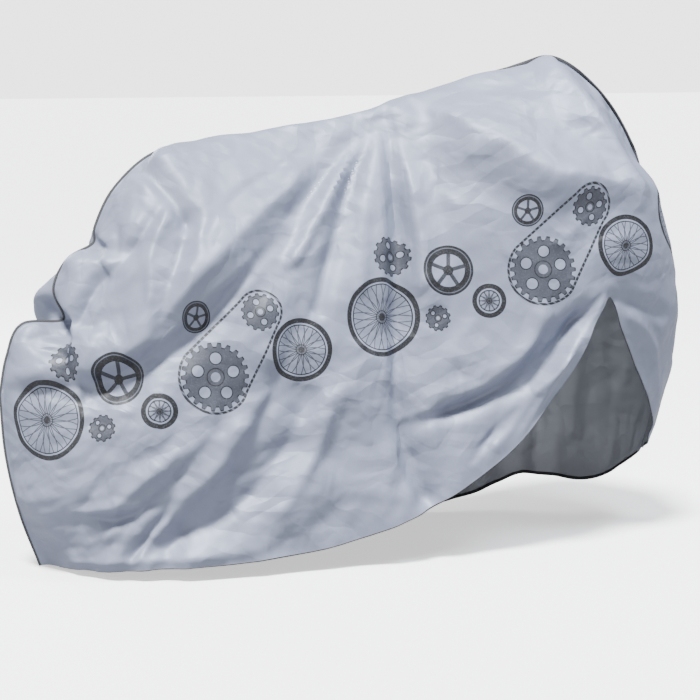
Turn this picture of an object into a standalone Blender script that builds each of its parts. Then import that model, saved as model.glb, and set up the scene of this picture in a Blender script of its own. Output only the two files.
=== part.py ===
"""Fitted bicycle cover, draped: two film panels sewn along an arch, with a bound seam and taped hems.

Tables are in cover coordinates: x along the bicycle (front positive), w sideways out from the seam's plane,
z up from the ground, all in metres. The part's origin lies under the top, where a saddle holds the cover.
"""
from typing import NamedTuple

import bpy
import numpy as np

# Driving sizes, in metres
SHEET = 0.0015
PIECE_GAP = 0.0003
ORIGIN = np.array((0.079, 0.0, 1.0855))  # underside of the top, over the saddle
FLANGE_HEIGHT = 0.008  # raised edge of each panel inside the binding
BINDING_WALL = 0.0010
BINDING_FOOT_CLEARANCE = 0.0016
HEM_ALLOWANCE = 0.012
TAPE_THICKNESS = 0.0010
TAPE_DROP = 0.0020  # how far the tape shows below the hem
CREST_PLACE = 0.045  # distance from the seam to the top of the film's crest
CREST_WIDTH = 0.045
LEAN_PER_CREST = 24.0  # radians of lean of the raised seam for each metre of crest
FOLD_FREE_EDGE = 0.07  # folds fade out within this distance of the seam
PUSH_FREE_EDGE = 0.035

# Grid of each panel
ROWS = 24
ROW_CROWDING = 1.2  # above 1, rows stand closer near the seam
ROUTE_STEPS = 24  # straight steps along a fold's route
TAPE_END_COLUMNS = 1  # grid columns left free of tape at each end

NEAR, FAR = -1.0, 1.0


class Section(NamedTuple):
    """A cut at one place on the seam; columns counts the grid columns up to the next cut."""

    name: str
    columns: int
    seam: tuple
    crest: float
    crown: float


# name, columns, seam (x, y, z), crest (the film's rise beside the seam), crown (0 to 1, how level it starts)
SECTIONS = (
    Section("rear_edge", 2, (-0.880, 0.000, 0.425), 0.000, 0.0),
    Section("rear_low", 2, (-0.862, 0.000, 0.515), 0.000, 0.7),
    Section("lobe_end", 3, (-0.826, 0.000, 0.588), 0.000, 0.8),
    Section("notch", 2, (-0.724, 0.000, 0.596), 0.000, 0.9),
    Section("low_lobe", 2, (-0.746, 0.000, 0.672), 0.000, 0.9),
    Section("low_lobe_top", 2, (-0.712, 0.000, 0.740), 0.000, 0.9),
    Section("high_notch", 2, (-0.649, 0.000, 0.776), 0.000, 0.9),
    Section("high_lobe", 2, (-0.642, 0.000, 0.820), 0.000, 0.9),
    Section("rear_top", 3, (-0.596, 0.004, 0.905), 0.000, 0.9),
    Section("rear_round", 3, (-0.500, 0.020, 0.983), 0.008, 0.9),
    Section("rack", 4, (-0.390, 0.034, 0.999), 0.018, 0.9),
    Section("mid", 4, (-0.185, 0.034, 1.031), 0.018, 0.9),
    Section("saddle", 4, (0.079, 0.028, 1.086), 0.016, 0.8),
    Section("lap", 3, (0.299, 0.028, 1.149), 0.016, 0.9),
    Section("stem", 3, (0.460, 0.014, 1.192), 0.010, 0.9),
    Section("bar_top", 2, (0.544, 0.000, 1.211), 0.000, 0.7),
    Section("bar_end", 3, (0.637, 0.000, 1.162), 0.000, 0.3),
    Section("nose_side", 3, (0.721, 0.000, 1.075), 0.000, 0.2),
    Section("nose_turn", 3, (0.790, 0.000, 0.950), 0.000, 0.4),
    Section("nose_low", 3, (0.835, 0.000, 0.800), 0.000, 0.5),
    Section("front_edge", 0, (0.858, 0.000, 0.620), 0.000, 0.0),
)

# One row per section: shoulder (x, w, z), waist (x, w, z), hem (x, w, z)
NEAR_SIDES = (
    ((-0.869, 0.000, 0.280), (-0.838, 0.000, 0.135), (-0.791, 0.000, 0.004)),
    ((-0.842, 0.070, 0.345), (-0.804, 0.095, 0.160), (-0.745, 0.100, 0.012)),
    ((-0.805, 0.115, 0.400), (-0.765, 0.150, 0.185), (-0.706, 0.155, 0.018)),
    ((-0.752, 0.150, 0.430), (-0.716, 0.190, 0.205), (-0.668, 0.198, 0.022)),
    ((-0.720, 0.160, 0.465), (-0.690, 0.205, 0.225), (-0.640, 0.220, 0.025)),
    ((-0.690, 0.168, 0.500), (-0.665, 0.215, 0.245), (-0.612, 0.240, 0.028)),
    ((-0.655, 0.172, 0.540), (-0.638, 0.225, 0.265), (-0.584, 0.254, 0.031)),
    ((-0.625, 0.176, 0.580), (-0.608, 0.232, 0.285), (-0.554, 0.266, 0.033)),
    ((-0.575, 0.186, 0.650), (-0.560, 0.242, 0.320), (-0.505, 0.280, 0.035)),
    ((-0.485, 0.190, 0.730), (-0.470, 0.250, 0.355), (-0.420, 0.288, 0.038)),
    ((-0.365, 0.186, 0.775), (-0.350, 0.255, 0.390), (-0.315, 0.291, 0.044)),
    ((-0.170, 0.170, 0.800), (-0.150, 0.250, 0.420), (-0.120, 0.290, 0.066)),
    ((0.065, 0.155, 0.830), (0.070, 0.245, 0.470), (0.090, 0.290, 0.132)),
    ((0.270, 0.200, 0.905), (0.270, 0.270, 0.570), (0.300, 0.290, 0.255)),
    ((0.425, 0.235, 0.955), (0.420, 0.285, 0.690), (0.455, 0.295, 0.430)),
    ((0.560, 0.250, 0.940), (0.555, 0.295, 0.785), (0.570, 0.290, 0.628)),
    ((0.652, 0.274, 0.905), (0.672, 0.288, 0.715), (0.622, 0.270, 0.546)),
    ((0.750, 0.210, 0.870), (0.778, 0.228, 0.640), (0.699, 0.220, 0.422)),
    ((0.815, 0.130, 0.750), (0.838, 0.155, 0.520), (0.772, 0.150, 0.300)),
    ((0.856, 0.060, 0.610), (0.860, 0.080, 0.410), (0.805, 0.075, 0.225)),
    ((0.870, 0.000, 0.480), (0.860, 0.000, 0.330), (0.822, 0.000, 0.190)),
)
FAR_SIDES = (
    ((-0.869, 0.000, 0.280), (-0.838, 0.000, 0.135), (-0.791, 0.000, 0.004)),
    ((-0.845, 0.060, 0.350), (-0.806, 0.090, 0.165), (-0.745, 0.100, 0.006)),
    ((-0.810, 0.100, 0.410), (-0.765, 0.140, 0.190), (-0.705, 0.150, 0.006)),
    ((-0.770, 0.130, 0.460), (-0.722, 0.175, 0.215), (-0.665, 0.190, 0.006)),
    ((-0.745, 0.142, 0.500), (-0.695, 0.190, 0.235), (-0.635, 0.210, 0.006)),
    ((-0.710, 0.150, 0.540), (-0.665, 0.200, 0.250), (-0.605, 0.228, 0.007)),
    ((-0.670, 0.156, 0.575), (-0.632, 0.208, 0.268), (-0.575, 0.243, 0.008)),
    ((-0.630, 0.162, 0.610), (-0.600, 0.215, 0.285), (-0.543, 0.255, 0.008)),
    ((-0.572, 0.168, 0.665), (-0.548, 0.225, 0.310), (-0.490, 0.268, 0.009)),
    ((-0.480, 0.172, 0.730), (-0.452, 0.236, 0.345), (-0.400, 0.278, 0.010)),
    ((-0.360, 0.168, 0.765), (-0.330, 0.244, 0.370), (-0.285, 0.285, 0.012)),
    ((-0.165, 0.155, 0.780), (-0.130, 0.240, 0.380), (-0.090, 0.290, 0.012)),
    ((0.075, 0.145, 0.810), (0.085, 0.235, 0.405), (0.110, 0.290, 0.012)),
    ((0.280, 0.190, 0.860), (0.290, 0.255, 0.440), (0.310, 0.285, 0.020)),
    ((0.430, 0.235, 0.920), (0.450, 0.275, 0.490), (0.470, 0.275, 0.045)),
    ((0.550, 0.255, 0.930), (0.560, 0.275, 0.500), (0.580, 0.265, 0.090)),
    ((0.640, 0.275, 0.900), (0.655, 0.270, 0.510), (0.665, 0.240, 0.085)),
    ((0.735, 0.205, 0.850), (0.745, 0.215, 0.480), (0.730, 0.190, 0.078)),
    ((0.800, 0.125, 0.740), (0.805, 0.145, 0.420), (0.775, 0.130, 0.095)),
    ((0.848, 0.060, 0.610), (0.845, 0.075, 0.370), (0.805, 0.065, 0.140)),
    ((0.870, 0.000, 0.480), (0.860, 0.000, 0.330), (0.822, 0.000, 0.190)),
)


class Fold(NamedTuple):
    """A soft trough (negative height) or ridge (positive) along a route seen from the side, as (x, z) points."""

    name: str
    route: tuple
    height: float
    width_start: float
    width_end: float
    fade_start: float
    fade_end: float


# name, route, height, width at its start and end, fade at its start and end
NEAR_FOLDS = (
    Fold("long_trough", ((-0.17, 0.90), (-0.33, 0.74), (-0.46, 0.61), (-0.58, 0.52), (-0.76, 0.46)),
         -0.046, 0.036, 0.050, 0.6, 0.5),
    Fold("long_ridge", ((-0.23, 0.89), (-0.44, 0.74), (-0.59, 0.57), (-0.70, 0.53)),
         0.020, 0.028, 0.028, 0.5, 0.8),
    Fold("under_ridge", ((-0.12, 0.83), (-0.29, 0.69), (-0.42, 0.56), (-0.50, 0.46)),
         0.020, 0.034, 0.034, 0.4, 0.6),
    Fold("pleat_rear", ((0.04, 1.05), (-0.06, 0.96), (-0.18, 0.84)), -0.012, 0.022, 0.032, 0.5, 0.8),
    Fold("pleat_rear_ridge", ((0.05, 1.05), (-0.03, 0.95), (-0.12, 0.82), (-0.18, 0.70)),
         0.014, 0.022, 0.034, 0.6, 0.5),
    Fold("pleat_dark", ((0.06, 1.05), (0.00, 0.98), (-0.05, 0.89), (-0.10, 0.78), (-0.15, 0.64)),
         -0.020, 0.022, 0.038, 0.8, 0.5),
    Fold("pleat_light", ((0.07, 1.05), (0.04, 0.92), (0.01, 0.75), (-0.01, 0.55)),
         0.015, 0.022, 0.034, 0.7, 0.5),
    Fold("valley", ((0.08, 1.05), (0.065, 0.87), (0.045, 0.66), (0.03, 0.45), (0.05, 0.31), (0.10, 0.16)),
         -0.030, 0.024, 0.036, 0.6, 1.0),
    Fold("pleat_front", ((0.09, 1.05), (0.11, 0.92), (0.12, 0.70), (0.15, 0.50)),
         0.014, 0.024, 0.036, 0.7, 0.4),
    Fold("bar_facet", ((0.20, 1.10), (0.33, 1.03), (0.38, 0.96), (0.46, 0.92), (0.64, 0.905)),
         0.022, 0.050, 0.045, 0.5, 1.0),
    Fold("under_facet", ((0.24, 0.92), (0.38, 0.84), (0.54, 0.81)), -0.016, 0.060, 0.050, 0.6, 1.0),
    Fold("bar_crease", ((0.535, 1.18), (0.58, 1.06), (0.65, 0.91)), 0.014, 0.030, 0.030, 0.5, 1.0),
    Fold("rear_crease", ((-0.52, 0.94), (-0.49, 0.89), (-0.47, 0.81), (-0.51, 0.71), (-0.55, 0.60)),
         -0.018, 0.026, 0.032, 0.7, 0.7),
    Fold("rear_band", ((-0.44, 0.93), (-0.41, 0.84), (-0.44, 0.76)), 0.016, 0.040, 0.045, 1.0, 0.6),
    Fold("rear_belly", ((-0.57, 0.86), (-0.58, 0.76), (-0.61, 0.66)), 0.020, 0.040, 0.040, 0.8, 0.6),
    Fold("notch_pocket", ((-0.72, 0.61), (-0.69, 0.64), (-0.62, 0.67)), -0.026, 0.026, 0.034, 1.0, 0.1),
    Fold("high_pocket", ((-0.65, 0.78), (-0.61, 0.78), (-0.56, 0.77)), -0.016, 0.022, 0.026, 1.0, 0.1),
    Fold("lobe_roll", ((-0.82, 0.57), (-0.75, 0.57), (-0.68, 0.58)), 0.018, 0.026, 0.028, 0.8, 0.4),
    Fold("lobe_dip", ((-0.83, 0.52), (-0.76, 0.51), (-0.66, 0.53)), -0.014, 0.024, 0.026, 0.6, 0.6),
    Fold("tip_pocket", ((0.42, 0.60), (0.31, 0.49), (0.18, 0.41), (0.04, 0.34)),
         -0.046, 0.034, 0.034, 1.0, 0.2),
    Fold("tip_dip", ((0.47, 0.60), (0.36, 0.46), (0.28, 0.36), (0.22, 0.27)),
         -0.014, 0.022, 0.024, 1.0, 0.5),
    Fold("tip_ridge", ((0.52, 0.60), (0.40, 0.44), (0.31, 0.33), (0.22, 0.24)),
         0.018, 0.026, 0.030, 0.6, 0.8),
    Fold("tip_brow", ((0.34, 0.63), (0.46, 0.635), (0.56, 0.66)), 0.018, 0.026, 0.026, 0.8, 0.8),
    Fold("big_trough", ((-0.20, 0.60), (-0.25, 0.43), (-0.32, 0.33), (-0.41, 0.24), (-0.52, 0.17)),
         -0.040, 0.040, 0.052, 0.5, 1.0),
    Fold("big_ridge", ((-0.34, 0.46), (-0.46, 0.35), (-0.56, 0.26), (-0.67, 0.18)),
         0.024, 0.040, 0.040, 0.6, 0.9),
    Fold("low_trough", ((-0.20, 0.33), (-0.28, 0.27), (-0.40, 0.18), (-0.52, 0.12), (-0.62, 0.06)),
         -0.022, 0.030, 0.032, 0.3, 1.0),
    Fold("low_ridge", ((-0.15, 0.40), (-0.25, 0.33), (-0.36, 0.24), (-0.48, 0.10)),
         0.018, 0.030, 0.030, 0.4, 1.0),
    Fold("corner_crease", ((-0.75, 0.15), (-0.67, 0.16), (-0.60, 0.20), (-0.53, 0.25)),
         -0.014, 0.024, 0.028, 0.6, 0.8),
    Fold("mid_ridge", ((-0.19, 0.52), (-0.18, 0.42), (-0.14, 0.22)), 0.018, 0.028, 0.030, 0.6, 0.6),
    Fold("hem_pocket", ((-0.02, 0.24), (-0.15, 0.18), (-0.28, 0.09)), -0.018, 0.030, 0.030, 0.5, 1.0),
    Fold("lap_ridge", ((0.10, 0.40), (0.13, 0.28), (0.16, 0.18)), 0.018, 0.030, 0.030, 0.5, 1.0),
    Fold("nose_dip", ((0.70, 0.80), (0.74, 0.62), (0.70, 0.46)), -0.014, 0.035, 0.035, 0.6, 1.0),
)
FAR_FOLDS = (
    Fold("long_trough", ((-0.15, 0.92), (-0.32, 0.72), (-0.50, 0.56), (-0.72, 0.44)),
         -0.036, 0.040, 0.050, 0.6, 0.4),
    Fold("long_ridge", ((-0.05, 0.90), (-0.22, 0.64), (-0.40, 0.44), (-0.60, 0.32)),
         0.020, 0.036, 0.044, 0.5, 0.6),
    Fold("pleat_rear", ((0.05, 1.02), (-0.03, 0.84), (-0.09, 0.60), (-0.12, 0.36)),
         -0.018, 0.026, 0.044, 0.7, 0.6),
    Fold("pleat_light", ((0.07, 1.02), (0.05, 0.80), (0.02, 0.56), (-0.01, 0.34)),
         0.013, 0.024, 0.040, 0.7, 0.5),
    Fold("valley", ((0.09, 1.02), (0.12, 0.80), (0.14, 0.50), (0.12, 0.10)),
         -0.028, 0.026, 0.044, 0.6, 1.0),
    Fold("bar_facet", ((0.20, 1.08), (0.34, 1.00), (0.46, 0.93), (0.62, 0.90)),
         0.016, 0.050, 0.045, 0.5, 1.0),
    Fold("bar_crease", ((0.54, 1.17), (0.58, 1.05), (0.64, 0.91)), 0.012, 0.030, 0.030, 0.5, 1.0),
    Fold("rear_belly", ((-0.60, 0.80), (-0.64, 0.66), (-0.70, 0.54)), 0.024, 0.045, 0.050, 0.7, 0.8),
    Fold("hang_a", ((0.34, 0.80), (0.36, 0.50), (0.36, 0.06)), -0.022, 0.036, 0.040, 0.2, 1.0),
    Fold("hang_b", ((0.46, 0.82), (0.48, 0.50), (0.50, 0.08)), 0.018, 0.036, 0.040, 0.3, 1.0),
    Fold("hang_c", ((0.66, 0.84), (0.66, 0.50), (0.64, 0.10)), -0.018, 0.036, 0.040, 0.4, 1.0),
    Fold("low_trough", ((-0.16, 0.30), (-0.32, 0.20), (-0.50, 0.06)), -0.022, 0.038, 0.044, 0.4, 1.0),
    Fold("low_ridge", ((-0.30, 0.34), (-0.46, 0.24), (-0.62, 0.08)), 0.014, 0.034, 0.040, 0.5, 1.0),
)


class Push(NamedTuple):
    """A place where the film swells past the seam: centre (x, z), shift (x, y, z) and reach."""

    name: str
    centre: tuple
    shift: tuple
    reach: float


FAR_PUSHES = (
    Push("low_belly", (-0.745, 0.630), (-0.046, 0.010, 0.004), 0.060),
)


def spline(stations, values, where):
    """Values at `where`, on a smooth curve through the stations, with slopes that don't overshoot much."""
    stations = np.asarray(stations, float)
    values = np.asarray(values, float)
    steps = np.diff(stations)
    rises = np.diff(values, axis=0) / steps[:, None]
    slopes = np.empty_like(values)
    slopes[0], slopes[-1] = rises[0], rises[-1]
    before, after = steps[:-1, None], steps[1:, None]
    slopes[1:-1] = (rises[:-1] * after + rises[1:] * before) / (before + after)
    return hermite(stations, values, slopes, where)


def hermite(stations, values, slopes, where):
    """Cubic Hermite interpolation of rows of values, with the slopes given at each station."""
    piece = np.clip(np.searchsorted(stations, where, side="right") - 1, 0, len(stations) - 2)
    width = (stations[piece + 1] - stations[piece])[:, None]
    f = ((where - stations[piece])[:, None]) / width
    return (values[piece] * (2 * f ** 3 - 3 * f ** 2 + 1) + slopes[piece] * width * (f ** 3 - 2 * f ** 2 + f)
            + values[piece + 1] * (3 * f ** 2 - 2 * f ** 3) + slopes[piece + 1] * width * (f ** 3 - f ** 2))


def column_places():
    """Section numbers, with fractions, at which the grid columns stand."""
    places = [0.0]
    for number, section in enumerate(SECTIONS[:-1]):
        places += [number + (k + 1) / section.columns for k in range(section.columns)]
    return np.array(places)


def side_rails(rows, places):
    """Shoulder, waist and hem points in each column, as an array (column, rail, xwz)."""
    table = np.array(rows, float).reshape(len(rows), 9)
    return spline(np.arange(len(rows)), table, places).reshape(len(places), 3, 3)


def seam_frames(points, lean):
    """Outward and sideways unit vectors along the seam's points; lean (radians) tips both to the far side."""
    run = np.gradient(points, axis=0)
    run /= np.linalg.norm(run, axis=1)[:, None]
    across = np.array((0.0, 1.0, 0.0)) - run * run[:, 1:2]
    across /= np.linalg.norm(across, axis=1)[:, None]
    outward = np.cross(run, across)
    turn = lean[:, None]
    return outward * np.cos(turn) + across * np.sin(turn), across * np.cos(turn) - outward * np.sin(turn)


def smooth_step(f):
    """Ease from 0 to 1 as f goes from 0 to 1."""
    f = np.clip(f, 0.0, 1.0)
    return f * f * (3 - 2 * f)


def fold_height(fold, x, z):
    """Height of one fold over the points (x, z) of the side view."""
    route = spline(np.linspace(0, 1, len(fold.route)), fold.route, np.linspace(0, 1, ROUTE_STEPS + 1))
    points = np.stack((x, z), -1)[..., None, :]
    starts, runs = route[:-1], np.diff(route, axis=0)
    along = np.clip(((points - starts) * runs).sum(-1) / (runs ** 2).sum(-1), 0, 1)
    distance = np.linalg.norm(points - (starts + along[..., None] * runs), axis=-1)
    nearest = distance.argmin(-1)
    f = (nearest + np.take_along_axis(along, nearest[..., None], -1)[..., 0]) / (len(route) - 1)
    width = fold.width_start + (fold.width_end - fold.width_start) * f
    fade = fold.fade_start + (fold.fade_end - fold.fade_start) * f
    return fold.height * fade * np.exp(-(distance.min(-1) / width) ** 2)


class Panel:
    """One side of the cover: a grid of points from the bound seam down to the hem."""

    def __init__(self, side, rows, folds, pushes=()):
        places = column_places()
        seam_table = [(*s.seam, s.crest, s.crown) for s in SECTIONS]
        seam = spline(np.arange(len(SECTIONS)), seam_table, places)
        rails = side_rails(rows, places)
        crest = seam[:, 3] if side == NEAR else np.zeros(len(seam))
        self.side = side
        self.grid = self.columns(side, seam[:, :3], crest, seam[:, 4], rails)
        self.grid = self.pushed(self.folded(folds), pushes)

    @staticmethod
    def columns(side, seam_line, crest, crown, rails):
        """Grid (column, row, xyz): each column leaves the seam sideways, then follows the three rails."""
        rails = rails.copy()
        rails[..., 1] *= side
        stops = np.concatenate((seam_line[:, None, :], rails), axis=1)
        grid = np.empty((len(seam_line), ROWS + 1, 3))
        for i, column in enumerate(stops):
            reach = np.concatenate(((0.0,), np.cumsum(np.linalg.norm(np.diff(column, axis=0), axis=1))))
            slopes = np.gradient(column, reach, axis=0)
            slopes[0] = np.array((0.0, side, 0.0)) * crown[i] + slopes[0] * (1 - crown[i])
            where = (reach[-1] - HEM_ALLOWANCE) * np.linspace(0, 1, ROWS) ** ROW_CROWDING
            where = np.append(where, reach[-1])
            grid[i] = hermite(reach, column, slopes, where)
            rise = np.exp(-((where - CREST_PLACE) / CREST_WIDTH) ** 2) * smooth_step(where / CREST_PLACE)
            grid[i, :, 2] += crest[i] * rise
        return grid

    def seam_fade(self, free_edge):
        """0 at the seam, easing to 1 at the free-edge distance from it."""
        edge = seam_loop(self.grid)
        from_seam = np.linalg.norm(self.grid[:, :, None, :] - edge, axis=-1).min(-1)
        return smooth_step(from_seam / free_edge)

    def folded(self, folds):
        """The grid moved along its own normals by every fold, fading out at the seam."""
        height = sum(fold_height(f, self.grid[..., 0], self.grid[..., 2]) for f in folds)
        height = height * self.seam_fade(FOLD_FREE_EDGE)
        return self.grid + grid_normals(self.grid, self.side) * height[..., None]

    def pushed(self, grid, pushes):
        """The grid moved by every push, fading out at the seam."""
        fade = self.seam_fade(PUSH_FREE_EDGE)
        for push in pushes:
            distance = np.linalg.norm(grid[..., (0, 2)] - np.array(push.centre), axis=-1)
            weight = fade * np.exp(-(distance / push.reach) ** 2)
            grid = grid + weight[..., None] * np.array(push.shift)
        return grid


def grid_normals(grid, side):
    """Unit normals of a grid, pointing out of the cover."""
    normals = np.cross(np.gradient(grid, axis=0), np.gradient(grid, axis=1)) * side
    return normals / np.maximum(np.linalg.norm(normals, axis=-1), 1e-9)[..., None]


def seam_loop(grid):
    """The sewn edge of a panel: up its rear edge, over the top, down its front edge."""
    return np.concatenate((grid[0, :0:-1], grid[:, 0], grid[-1, 1:]))


def seam_loop_indices(columns):
    """Grid indices (column * row count + row) of the points of seam_loop."""
    count = ROWS + 1
    rear = [row for row in range(ROWS, 0, -1)]
    top = [column * count for column in range(columns)]
    front = [(columns - 1) * count + row for row in range(1, count)]
    return rear + top + front


def triangles(a, b, c, d):
    """The quad a, b, c, d as two triangles, always cut from a to c."""
    return [(a, b, c), (a, c, d)]


def shell_faces(outer_faces, count):
    """Faces of a closed sheet: outer faces, the same faces reversed on the inner points, and its rims."""
    edges = {(f[k], f[(k + 1) % 3]) for f in outer_faces for k in range(3)}
    rims = [edge for edge in edges if (edge[1], edge[0]) not in edges]
    faces = list(outer_faces) + [tuple(count + v for v in reversed(f)) for f in outer_faces]
    for a, b in sorted(rims):
        faces += triangles(b, a, count + a, count + b)
    return faces


def panel_solid(panel, sideways, outward):
    """Points and faces of one panel: grid, and the raised edge that the binding encloses."""
    grid = panel.grid
    columns, count = grid.shape[0], ROWS + 1
    loop = seam_loop_indices(columns)
    faces = []
    for i in range(columns - 1):
        for j in range(ROWS):
            corner = i * count + j
            faces += triangles(corner, corner + count, corner + count + 1, corner + 1)
    raised = [columns * count + k for k in range(len(loop))]
    for k in range(len(loop) - 1):
        faces += triangles(loop[k], raised[k], raised[k + 1], loop[k + 1])
    outer = grid.reshape(-1, 3).copy()
    inner = outer - grid_normals(grid, panel.side).reshape(-1, 3) * SHEET
    centre = outer[loop]
    half_gap = PIECE_GAP / 2
    outer[loop] = centre + sideways * panel.side * (half_gap + SHEET)
    inner[loop] = centre + sideways * panel.side * half_gap
    outer = np.concatenate((outer, outer[loop] + outward * FLANGE_HEIGHT))
    inner = np.concatenate((inner, inner[loop] + outward * FLANGE_HEIGHT))
    if panel.side == NEAR:
        faces = [tuple(reversed(f)) for f in faces]
    return np.concatenate((outer, inner)), shell_faces(faces, len(outer))


def binding_solid(centre, sideways, outward):
    """Points and faces of the folded tape that straddles both raised edges."""
    inside = PIECE_GAP / 2 + SHEET + PIECE_GAP
    outside = inside + BINDING_WALL
    under = FLANGE_HEIGHT + PIECE_GAP
    over = under + BINDING_WALL
    foot = BINDING_FOOT_CLEARANCE
    profile = ((-outside, foot), (-outside, over), (outside, over), (outside, foot),
               (inside, foot), (inside, under), (-inside, under), (-inside, foot))
    rings = [centre + sideways * q + outward * o for q, o in profile]
    points = np.stack(rings, axis=1).reshape(-1, 3)
    sides = len(profile)
    faces = []
    for k in range(len(centre) - 1):
        for m in range(sides):
            here, there = k * sides + m, k * sides + (m + 1) % sides
            faces += triangles(here, here + sides, there + sides, there)
    last = (len(centre) - 1) * sides
    for a, b, c, d in ((0, 1, 6, 7), (1, 2, 5, 6), (2, 3, 4, 5)):
        faces += triangles(a, b, c, d)
        faces += triangles(last + d, last + c, last + b, last + a)
    return points, faces


def tape_solid(panel, first, last):
    """Points and faces of the hem tape behind the foot of a panel, from one column to another."""
    rows = panel.grid[first:last + 1, ROWS - 1:]
    down = rows[:, 1:] - rows[:, :1]
    drop = rows[:, 1:] + down / np.linalg.norm(down, axis=2)[..., None] * TAPE_DROP
    rows = np.concatenate((rows, drop), axis=1)
    normals = grid_normals(panel.grid, panel.side)[first:last + 1][:, (ROWS - 1, ROWS, ROWS)]
    front = rows - normals * (SHEET + PIECE_GAP)
    back = front - normals * TAPE_THICKNESS
    count = rows.shape[1]
    faces = []
    for k in range(last - first):
        for row in range(count - 1):
            corner = count * k + row
            faces += triangles(corner, corner + count, corner + count + 1, corner + 1)
    if panel.side == NEAR:
        faces = [tuple(reversed(f)) for f in faces]
    front, back = front.reshape(-1, 3), back.reshape(-1, 3)
    return np.concatenate((front, back)), shell_faces(faces, len(front))


def add_object(name, points, faces, material):
    """A mesh object from cover-coordinate points, set in the part's frame."""
    mesh = bpy.data.meshes.new(name)
    mesh.from_pydata((points - ORIGIN).tolist(), [], faces)
    mesh.materials.append(material)
    mesh.validate()
    item = bpy.data.objects.new(name, mesh)
    bpy.context.scene.collection.objects.link(item)
    return item


def plain_material(name, colour, roughness):
    """A Principled material with the given colour and roughness."""
    material = bpy.data.materials.new(name)
    material.use_nodes = True
    shader = material.node_tree.nodes["Principled BSDF"]
    shader.inputs["Base Color"].default_value = (*colour, 1.0)
    shader.inputs["Roughness"].default_value = roughness
    return material


def build():
    """Remove what the scene holds and build the cover's five pieces."""
    for item in list(bpy.data.objects):
        bpy.data.objects.remove(item)
    film = plain_material("silver_film", (0.42, 0.44, 0.48), 0.42)
    tape = plain_material("black_tape", (0.02, 0.02, 0.022), 0.75)
    near = Panel(NEAR, NEAR_SIDES, NEAR_FOLDS)
    far = Panel(FAR, FAR_SIDES, FAR_FOLDS, FAR_PUSHES)
    places = column_places()
    crest = spline(np.arange(len(SECTIONS)), [(s.crest,) for s in SECTIONS], places)[:, 0]
    level = np.zeros(ROWS)
    lean = np.concatenate((level, np.clip(crest, 0, None) * LEAN_PER_CREST, level))
    centre = seam_loop(near.grid)
    outward, sideways = seam_frames(centre, lean)
    for name, panel in (("panel_near", near), ("panel_far", far)):
        add_object(name, *panel_solid(panel, sideways, outward), film)
    add_object("seam_binding", *binding_solid(centre, sideways, outward), tape)
    last = len(places) - 1 - TAPE_END_COLUMNS
    for name, panel in (("hem_tape_near", near), ("hem_tape_far", far)):
        add_object(name, *tape_solid(panel, TAPE_END_COLUMNS, last), tape)


build()
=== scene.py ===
"""Looks of a fitted bicycle cover: film panels, bound seam, taped hems and their finishes.

Cover coordinates are x along the bicycle (front positive), y sideways and z up from the ground; w is sideways
out from the seam's plane. The tables at the top are in millimetres, all else is in metres. The part's origin
lies under the top, where a saddle holds it.
"""
import logging
import math
from dataclasses import dataclass, field
from enum import Enum

import bpy
import numpy as np
from mathutils import Matrix, Vector

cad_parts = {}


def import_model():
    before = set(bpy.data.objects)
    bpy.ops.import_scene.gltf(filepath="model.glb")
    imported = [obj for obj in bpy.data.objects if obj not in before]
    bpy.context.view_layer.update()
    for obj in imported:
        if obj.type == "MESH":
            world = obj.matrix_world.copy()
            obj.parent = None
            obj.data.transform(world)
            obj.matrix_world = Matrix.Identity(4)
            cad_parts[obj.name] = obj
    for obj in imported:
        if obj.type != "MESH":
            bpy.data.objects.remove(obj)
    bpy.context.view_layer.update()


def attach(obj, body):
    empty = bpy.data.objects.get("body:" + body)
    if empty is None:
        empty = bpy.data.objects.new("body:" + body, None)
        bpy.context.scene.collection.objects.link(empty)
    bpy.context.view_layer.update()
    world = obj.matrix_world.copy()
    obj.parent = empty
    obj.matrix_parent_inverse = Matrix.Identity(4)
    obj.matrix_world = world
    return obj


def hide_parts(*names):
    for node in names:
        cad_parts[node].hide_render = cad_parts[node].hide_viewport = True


Array, Socket = np.ndarray, bpy.types.NodeSocket
Material, Object = bpy.types.Material, bpy.types.Object
LOG = logging.getLogger("bicycle_cover")

ORIGIN = np.array((0.079, 0.0, 1.0855))
GROUND = -float(ORIGIN[2])
ROUTE_STEPS = 24
FLAT_LAYER = "flat"  # the UV map that holds each piece's coordinates laid flat
ALL, FIRST, LATER = slice(None), slice(None, -1), slice(1, None)
# pairs of neighbouring grid points: next column, next row and the two diagonals
LINKS = (((FIRST, ALL), (LATER, ALL)), ((ALL, FIRST), (ALL, LATER)),
         ((FIRST, FIRST), (LATER, LATER)), ((LATER, FIRST), (FIRST, LATER)))
BAND_CENTRE = (-0.050, 0.625)  # a point of the printed band's middle line, seen from the side
BAND_SLOPE = math.radians(15.5)
BAND_PROBE = 0.02  # reach up and down a column at the band, for its slant there
BAND_SLANT = 0.5  # the most that a column's slant may shear the flat film
SLANT_SMOOTHING, MEET_SMOOTHING = 20, 2  # columns to each side that a value is averaged over
FOLD_REACH = 3.2  # widths of a fold beyond which it is nothing
CREASE_REACH = 1.6  # how much further a sharp crease reaches
CREASE_ROUND = 0.25  # radius at the top of a sharp crease, in its widths
CREASE_TAPER = 0.12  # share of a sharp crease over which it rises and falls at its ends
CREASE_BODY = 0.9  # how nearly a sharp crease is full between its ends
SOLID_FOLD_SHARE = 0.22  # how much of each of the solids' round folds stays under the crisp ones
FACET_REACH = 1.6  # widths of a crisp fold beyond which it is nothing
FACET_TAPER = 0.35  # share of a crisp fold over which it grows to full size from each end
FACET_END_WIDTH = 0.4  # share of its width that a crisp fold keeps where its height runs out
FACET_SHARE = 0.92  # share of its height that a crisp fold is given
CREST_ROUND = 0.0030  # radius at the top of a crisp fold
FOOT_ROUND = 0.005  # how softly a crisp fold's flank meets the film
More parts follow.
